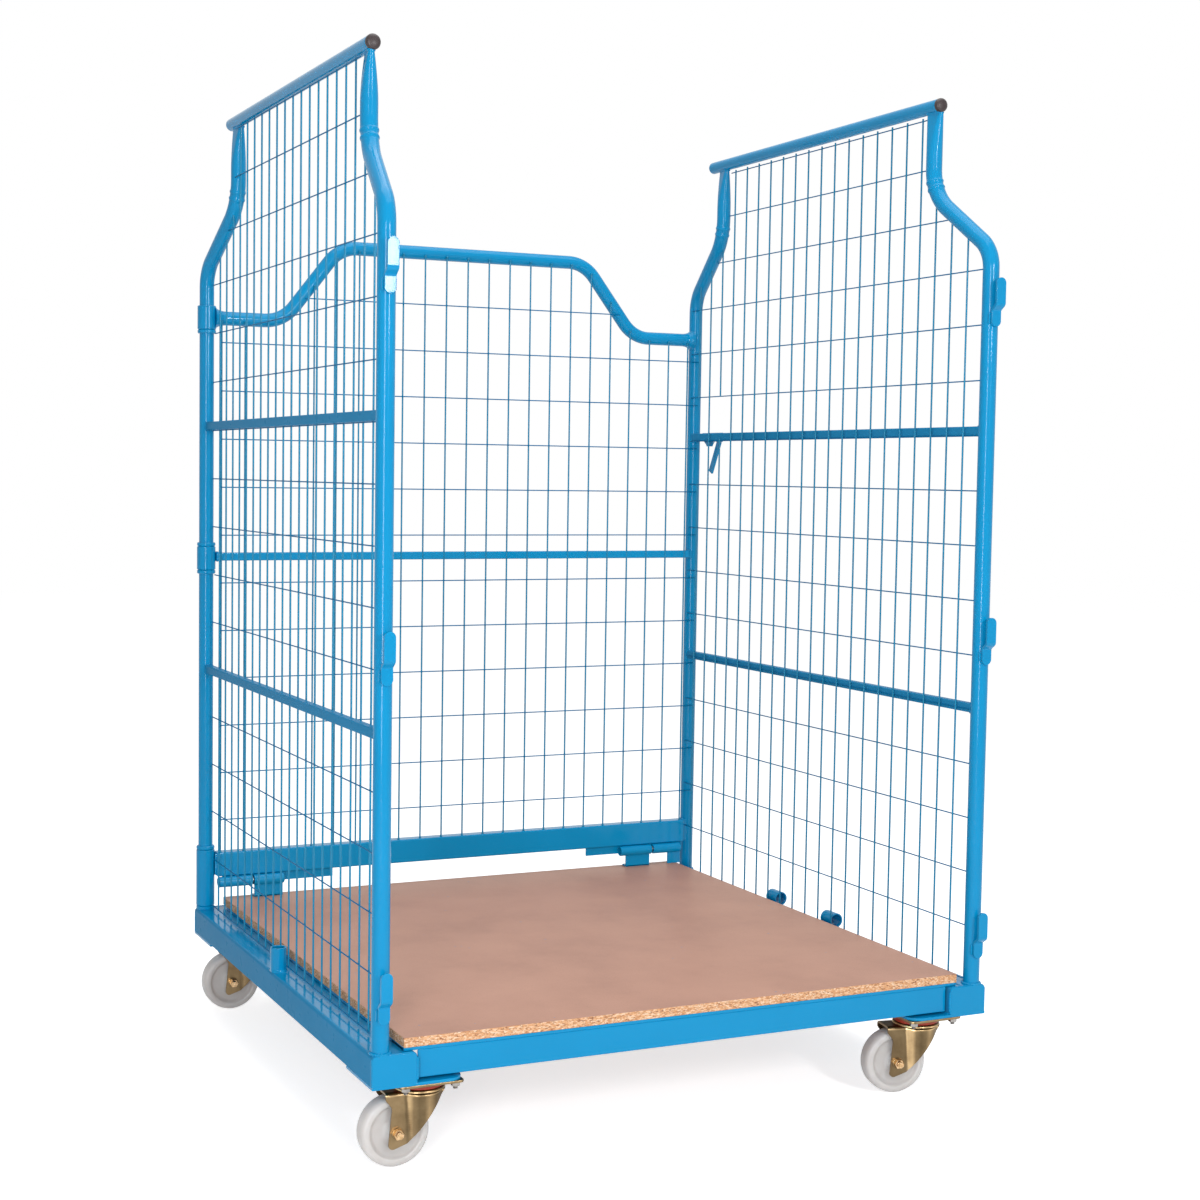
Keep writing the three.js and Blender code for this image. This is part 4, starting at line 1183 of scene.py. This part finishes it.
def back_top_rail(path):
    """The bent tube, flared where it meets the sleeve and the right post."""
    start_x = -POST_X + SLEEVE_R - 0.6
    points = [(start_x, TOP_RAIL_END_Z)] + path[1:-1] + [(POST_X - 3, TOP_RAIL_END_Z)]
    shapes = [tube([(x, 0, z) for x, z in points], TOP_RAIL_R, 28)]
    flare = [
        (12.0, -3.0), (24.0, -3.0), (21.0, 0.5), (18.2, 4.5),
        (16.2, 9.5), (15.1, 15.0), (14.4, 21.0), (12.0, 21.0),
    ]
    for x, way in ((start_x, 1), (POST_X - POST_R + 1, -1)):
        along = axes((x, 0, TOP_RAIL_END_Z), (0, 1, 0), (0, 0, way), (way, 0, 0))
        shapes.append(moved(turned(flare, 32), along))
    piece("back_hump_rail", shapes, "frame", ["back_top_rail"])


def back_middle_rail():
    half = RAIL_BAR / 2
    y = -POST_R + half
    left_x = -POST_X + SLEEVE_R - 0.8
    ends = [(left_x, y, MID_RAIL_Z), (POST_X - 6, y, MID_RAIL_Z)]
    shapes = [bar(*ends, half, half, 2.4, (0, 1, 0))]
    corners = rounded_rect(half + 0.4, half + 0.4, 2.8, 3)
    for x, way in ((left_x + 1.4, 1), (POST_X - 11.5, -1)):
        seam = [(x + 0.02 * b * b * way, y + a, MID_RAIL_Z + b) for a, b in corners]
        shapes.append(bead(seam, 1.7, closed=True))
    piece("back_middle_rail", shapes, "frame", ["back_mid_rail"])


def back_lower_beam():
    """The flat bottom beam, its right end made narrower, and the weld seams at its ends."""
    low, high = BEAM_LOW_Z, BEAM_HIGH_Z
    shapes = [block(BEAM_SPAN, (BEAM_FRONT_Y, BEAM_REAR_Y), (low, high), 3.2, 4)]
    tongue_y = (-12.6, BEAM_REAR_Y - 0.3)
    shapes.append(block(BEAM_TONGUE, tongue_y, (low + 0.4, high - 0.4), 2.0, 3))
    for z in (low + 0.4, high - 0.4):
        shapes.append(bead([(562.0, -11.0, z), (562.0, 6.0, z)], 2.2))
    for x, y, radius in ((-559.6, -15.4, 2.4), (-559.2, 7.0, 2.2), (561.4, -10.6, 2.2)):
        shapes.append(bead([(x, y, low + 3), (x, y, high - 3)], radius))
    piece("back_lower_beam", shapes, "frame", ["back_bottom_beam"])


def back_mesh(path):
    """The wires of the back panel, with the weld drops at both ends of the upright ones."""
    wires = []
    edge = WIRE_PITCH * (BACK_WIRES - 1) / 2 + 5
    for i in range(1, BACK_ROWS + 1):
        z = BACK_ROW_ORIGIN_Z - ROW_PITCH * i
        left, right = -edge, POST_X
        if z > TOP_RAIL_END_Z:
            inside = [x for x in range(-400, 0) if rail_height(path, x) - TOP_RAIL_R < z]
            left = max(inside) - 6
            right = -left
        wires.append(level_wire((left, BACK_ROW_Y, z), (right, BACK_ROW_Y, z)))
    foot = turned([(0.3, -1.6), (2.0, -1.2), (3.1, 0.0), (2.6, 1.2), (0.3, 2.2)], 12)
    head = turned([(0.3, -2.4), (2.4, -1.2), (3.1, 0.2), (2.2, 1.8), (0.3, 2.4)], 12)
    for i in range(BACK_WIRES):
        x = WIRE_PITCH * (i - (BACK_WIRES - 1) / 2)
        top = rail_height(path, x) - 7.0
        wires.append(upright_wire(x, BACK_WIRE_Y, BEAM_HIGH_Z - WELD_DEPTH, top))
        wires.append(moved(foot, shift(x, BACK_WIRE_Y, BEAM_HIGH_Z + 0.6)))
        wires.append(moved(head, shift(x, BACK_WIRE_Y - 0.6, top - 0.6)))
    nodes = ["back_mesh"]
    # The wires take darker copies of the blue paint: painted shade
    piece("back_wires", wires, "frame", nodes, SHADED_WIRE_PAINT, sharp=60.0, finishes=(SHADED_ROW_PAINT,))


def back_panel():
    path = hump_path()
    back_top_rail(path)
    back_middle_rail()
    back_lower_beam()
    back_mesh(path)
    spot = shift(-POST_X, 0, 0)
    for level, (low, high) in SLEEVES.items():
        shape = moved(pipe(SLEEVE_R, SLEEVE_BORE_R, low, high, 1.4, 40), spot)
        piece(f"{level}_post_sleeve", [shape], "frame", [f"{level}_sleeve"])


# Deck


def board():
    middle = (DECK_REAR_Y + DECK_FRONT_Y) / 2
    corners = rounded_rect(DECK_HALF, (DECK_REAR_Y - DECK_FRONT_Y) / 2, 1.5, 2)
    shape = slab([(a, b + middle) for a, b in corners], BOARD_LOW_Z, DECK_TOP_Z, 0.7)
    nodes = ["deck_board"]
    panel = piece("deck_panel", [shape], "deck", nodes, FILM, "particle_board", finishes=(CHIPS,))
    for face in panel.data.polygons:
        if abs(face.normal.z) < 0.8:
            face.material_index = 1


def underframe():
    """The flange round the board, the side webs and the cross members with their weld seams."""
    middle = DECK_FRONT_Y + FRONT_FLANGE / 2
    flange = [(a, middle + b) for a, b in rounded_rect(DECK_HALF, FRONT_FLANGE / 2, 3.0, 3)]
    shapes = [slab(flange, FLANGE_LOW_Z, BOARD_LOW_Z, 1.2)]
    flange_y = (DECK_FRONT_Y + 2, HINGE_Y - 1)
    web_y = (DECK_FRONT_Y + FRONT_LIP + 1, REAR_MEMBER_Y[0])
    for side in (-1, 1):
        x0, x1 = sorted((side * DECK_HALF, side * FLANGE_INNER_X))
        shapes.append(block((x0, x1), flange_y, (FLANGE_LOW_Z + 0.1, BOARD_LOW_Z - 0.1), 1.0))
        x0, x1 = sorted((side * BEAM_HALF, side * (BEAM_HALF - DECK_SHEET)))
        shapes.append(block((x0, x1), web_y, (WEB_LOW_Z, FLANGE_LOW_Z + 0.5), 0.8))
    wide = (-BEAM_HALF, BEAM_HALF)
    shapes.append(block(wide, REAR_MEMBER_Y, (FLANGE_LOW_Z, BOARD_LOW_Z - 0.05), 1.0))
    wide = (-BEAM_HALF + 3.5, BEAM_HALF - 3.5)
    for share in (1 / 3, 2 / 3):
        y = DECK_FRONT_Y + (HINGE_Y - DECK_FRONT_Y) * share
        edges = (y - MEMBER_HALF, y + MEMBER_HALF)
        shapes.append(block(wide, edges, (WEB_LOW_Z, BOARD_LOW_Z - 0.1), 2.5, 3))
        for side in (-1, 1):
            x = side * (BEAM_HALF - 4.4)
            shapes += [bead([(x, edge, 177.0), (x, edge, 203.0)], 2.0) for edge in edges]
    piece("deck_underframe", shapes, "deck", ["deck_frame"])


def front_beam():
    wide, front, low = (-BEAM_HALF, BEAM_HALF), DECK_FRONT_Y, BEAM_BOTTOM_Z
    face_y, lip_y = (front, front + DECK_SHEET), (front + 0.6, front + FRONT_LIP)
    shapes = [block(wide, face_y, (low, FLANGE_LOW_Z + 0.2), 1.9, 3)]
    shapes.append(block(wide, lip_y, (low, low + DECK_SHEET), 1.3, 3))
    for side in (-1, 1):
        x = side * (BEAM_HALF - 1.2)
        shapes.append(bead([(x, front + 1.6, 197.0), (x, front + 1.6, 203.0)], 1.5))
    piece("deck_front_edge", shapes, "deck", ["deck_front_beam"])


def barrel(span, mouth=BARREL_BORE_R):
    """A hinge barrel along X. Its left end is opened out to the radius "mouth"."""
    low, high = span
    profile = [
        (BARREL_BORE_R, low + 17.0), (mouth, low + 16.0), (mouth, low + 0.6), (mouth + 0.6, low),
        (BARREL_R - 0.9, low), (BARREL_R, low + 0.9), (BARREL_R, high - 0.9),
        (BARREL_R - 0.9, high), (BARREL_BORE_R + 0.9, high), (BARREL_BORE_R, high - 0.9),
    ]
    along = axes((0, HINGE_Y, HINGE_Z), (0, 1, 0), (0, 0, 1), (1, 0, 0))
    return moved(turned(profile, 32, hollow=True), along)


def hinge_strip(word, strip, fixed):
    """The strip under the bottom beam, with the fixed barrel and the weld seams."""
    front = HINGE_Y + BARREL_R + 0.4
    high = BEAM_LOW_Z + 0.4
    shapes = [block(strip, (front, front + STRIP_THICK), (BEAM_LOW_Z - STRIP_DROP, high), 1.0)]
    shapes.append(barrel(fixed))
    bridge_y = (HINGE_Y + BARREL_R - 2.6, front + 1)
    shapes.append(block(fixed, bridge_y, (HINGE_Z - 5, HINGE_Z + 5), 1.0))
    ends = (fixed[0] + 3, fixed[1] - 3)
    shapes.append(bead([(x, front - 0.6, HINGE_Z + 6.5) for x in ends], 2.2))
    if word == "right":
        foot_z = (DECK_TOP_Z + 0.6, HINGE_Z - BARREL_R + 1.5)
        shapes.append(block(HINGE_FOOT, (HINGE_Y - 2, HINGE_Y + 2), foot_z, 0.8))
    for start in range(int(strip[0]) + 12, int(strip[1]) - 24, 66):
        seam = [(x, front - 0.4, BEAM_LOW_Z + 0.2) for x in (start, start + 26)]
        shapes.append(bead(seam, 2.0))
    piece(f"{word}_hinge_rail", shapes, "frame", [f"{word}_hinge_strip"])


def hinge_strap(word, strap, moving):
    """The strap on the deck, with the moving barrel and the weld seams."""
    front, rear = HINGE_Y - STRAP_THICK / 2, HINGE_Y + STRAP_THICK / 2
    shapes = [barrel(moving, BARREL_MOUTH_R)]
    shapes.append(block(strap, (front, rear), (DECK_TOP_Z + 0.1, HINGE_Z - 8), 1.0))
    foot_y, foot_z = (front, front + STRAP_FOOT), (DECK_TOP_Z, DECK_TOP_Z + 4.0)
    shapes.append(block(strap, foot_y, foot_z, 1.2))
    ends = (strap[0] + 2, strap[1] - 2)
    for y in (front - 0.8, rear + 0.8):
        shapes.append(bead([(x, y, HINGE_Z - BARREL_R + 1.2) for x in ends], 1.8))
    piece(f"{word}_hinge_strap", shapes, "deck", [f"{word}_deck_hinge"])


def deck_hinge(word, spans):
    fixed, moving = spans["fixed"], spans["moving"]
    hinge_strip(word, spans["strip"], fixed)
    hinge_strap(word, spans["strap"], moving)
    ends = (min(fixed[0], moving[0]) + 20, max(fixed[1], moving[1]) - 20)
    rod = tube([(x, HINGE_Y, HINGE_Z) for x in ends], PIN_R, 20, 0.8)
    piece(f"{word}_hinge_rod", [rod], "frame", [f"{word}_hinge_pin"], ZINC, "zinc")


# Small fittings


def stub():
    """The short upright tube on the left base rail, with the weld seam round its foot."""
    y = -DEPTH / 2
    upright = pipe(TUBE_R, TUBE_BORE_R, RAIL_TOP_Z, RAIL_TOP_Z + STUB_HEIGHT, 0.9, 36)
    rings = []
    for r, h in ((14.0, 0.0), (17.6, 0.0), (16.4, 1.6), (15.3, 4.2), (14.6, 7.0), (14.0, 7.0)):
        z = RAIL_TOP_Z - 0.3 + h
        outer_x = -RAIL_OUTER_X + 0.4
        rings.append([Vector((max(STUB_X + a, outer_x), y + b, z)) for a, b in circle(r, 36)])
    shapes = [moved(upright, shift(STUB_X, y, 0)), skin(rings, closed=True)]
    piece("stub_tube", shapes, "left_side", ["coupling_stub"])


def eye_tube(word, y):
    """A short tube lying on the right base rail, with a weld seam along each side."""
    along = axes((EYE_X, y, RAIL_TOP_Z + TUBE_R), (1, 0, 0), (0, 0, 1), (0, -1, 0))
    shapes = [moved(pipe(TUBE_R, TUBE_BORE_R, -EYE_HALF, EYE_HALF, 0.9, 36), along)]
    for x in (EYE_X - 5.2, EYE_X + 5.2):
        shapes.append(bead([(x, end, RAIL_TOP_Z + 1.0) for end in (y - 18, y + 18)], 2.0))
    piece(f"{word}_eye_tube", shapes, "frame", [f"{word}_tow_eye"])


def lever_plate(outline, hole, thick):
    """A plate with a round hole: rings run between the outline and the hole at both faces."""
    matched = []
    for a, b in hole:
        way = atan2(b, a)
        gaps = [remainder(atan2(y, x) - way, 2 * pi) for x, y in outline]
        matched.append(min(zip(outline, gaps), key=lambda pair: abs(pair[1]))[0])
    rings = []
    for points, z in ((matched, 0.0), (matched, thick), (hole, thick), (hole, 0.0)):
        rings.append([Vector((a, b, z)) for a, b in points])
    return skin(rings, closed=True)


def catch():
    """The bracket on the upper right rail, and the lever that hangs from it."""
    x = SIDE_RAIL_X + RAIL_BAR / 2
    low, high, deep = UPPER_RAIL_Z - 11.5, UPPER_RAIL_Z + 10.0, UPPER_RAIL_Z - 21
    outline = [
        (-120, low + 3), (-117, low), (-100, low), (-93, low + 1.5), (-86, low + 1.5),
        (-79, low - 1), (-75, low - 5), (-72, deep), (-52, deep), (-49, low - 5), (-40, low + 1),
        (-32, low + 6), (-32, high), (-120, high),
    ]
    rivet = [(0.4, -0.5), (4.0, -0.5), (4.0, 6.9), (3.2, 8.0), (0.4, 8.0)]
    outward = (0, 1, 0), (0, 0, 1), (1, 0, 0)
    pivot = axes((x + 5, CATCH_Y, CATCH_Z), *outward)
    shapes = [moved(slab(outline, 0.0, 5.0, 0.7), axes((x, 0, 0), *outward))]
    shapes.append(moved(turned(rivet, 20), pivot))
    piece("catch_bracket", shapes, "frame", ["latch_bracket"])
    hanging = pivot @ shift(0, 0, 0.3) @ Matrix.Rotation(LEVER_ANGLE, 4, "Z")
    outline = arc((0, 0), LEVER_END_R, 0, 15, 13) + [
        (-8.0, -12.0), (-7.6, -88.5), (-6.3, -90.0), (6.3, -90.0), (7.6, -88.5), (8.0, -12.0),
    ]
    shapes = [lever_plate(outline, arc((0, 0), LEVER_HOLE_R, 0, 20, 18), 2.6)]
    for a in (-5.6, 5.6):
        shapes.append(block((a - 1.7, a + 1.7), (-88.6, -8.0), (0.4, 5.0), 1.2, 3))
    shapes = [moved(shape, hanging) for shape in shapes]
    piece("catch_lever", shapes, "catch_lever", ["latch_lever"])


for side in (-1, 1):
    side_panel(side)
    base_rail(side)
    mount_plate(side, "front")
    mount_plate(side, "rear")
    for level, bottom in HOOK_BOTTOMS.items():
        hook(side, level, bottom)
back_panel()
board()
underframe()
front_beam()
for word, spans in HINGES.items():
    deck_hinge(word, spans)
stub()
for word, y in EYES_Y.items():
    eye_tube(word, y)
catch()
for name, (x, y, turn) in CASTERS.items():
    caster(name, x, y, turn)


# Camera


def make_camera():
    """The photograph's view, as found by fitting the posts, rails and wires."""
    yaw, pitch, roll = CAMERA_YAW, CAMERA_PITCH, CAMERA_ROLL
    flat = cos(pitch)
    forward = Vector((sin(yaw) * flat, cos(yaw) * flat, -sin(pitch)))
    level = Vector((cos(yaw), -sin(yaw), 0))
    down = forward.cross(level)
    right = level * cos(roll) + down * sin(roll)
    up = level * sin(roll) - down * cos(roll)
    data = bpy.data.cameras.new("photo_camera")
    data.sensor_width = 36.0
    data.lens = CAMERA_LENS
    data.shift_x, data.shift_y = CAMERA_SHIFT
    data.clip_end = 100.0
    camera = placed(bpy.data.objects.new("photo_camera", data))
    camera.matrix_world = axes(CAMERA_PLACE, right, up, -forward)
    scene.camera = camera


# Light, floor and backdrop


def area_light(name, place, target, size, power):
    data = bpy.data.lights.new(name, "AREA")
    data.shape = "RECTANGLE"
    data.size, data.size_y = size
    data.energy = power
    lamp = placed(bpy.data.objects.new(name, data))
    lamp.location = place
    lamp.rotation_euler = (Vector(target) - Vector(place)).to_track_quat("-Z", "Y").to_euler()


def make_world():
    world = Nodes(bpy.data.worlds.new("studio"), "Background")
    world.shade({"Color": (1, 1, 1), "Strength": world.when_seen(WORLD_LEVEL, 1.0)})
    scene.world = world.owner


def make_floor():
    """A pale floor that reads as the white background, apart from the object's soft shadow."""
    reach = FLOOR_REACH
    corners = [(-reach, -reach, 0), (reach, -reach, 0), (reach, reach, 0), (-reach, reach, 0)]
    data = bpy.data.meshes.new("floor")
    data.from_pydata(corners, [], [(0, 1, 2, 3)])
    floor = placed(bpy.data.objects.new("floor", data))
    floor.location.z = -0.0005
    finish = new_finish("floor")
    finish.shade({
        "Base Color": FLOOR_COLOUR,
        "Roughness": 0.9,
        "Specular IOR Level": 0.0,
        "Emission Color": (1, 1, 1),
        "Emission Strength": finish.when_seen(0.0, FLOOR_GLOW),
    })
    data.materials.append(finish.owner)


make_camera()
make_world()
make_floor()
area_light("key", (-2.4, -3.7, 1.25), (0, 0, 0.9), (0.62, 2.2), 85)
area_light("spot", (0.54, -3.75, 1.9), (-0.3, 0, 1.1), (0.3, 0.65), 46)
area_light("top", (0.2, -0.4, 4.2), (0, 0, 0.3), (3.0, 3.0), 75)

scene.view_settings.view_transform = "Standard"
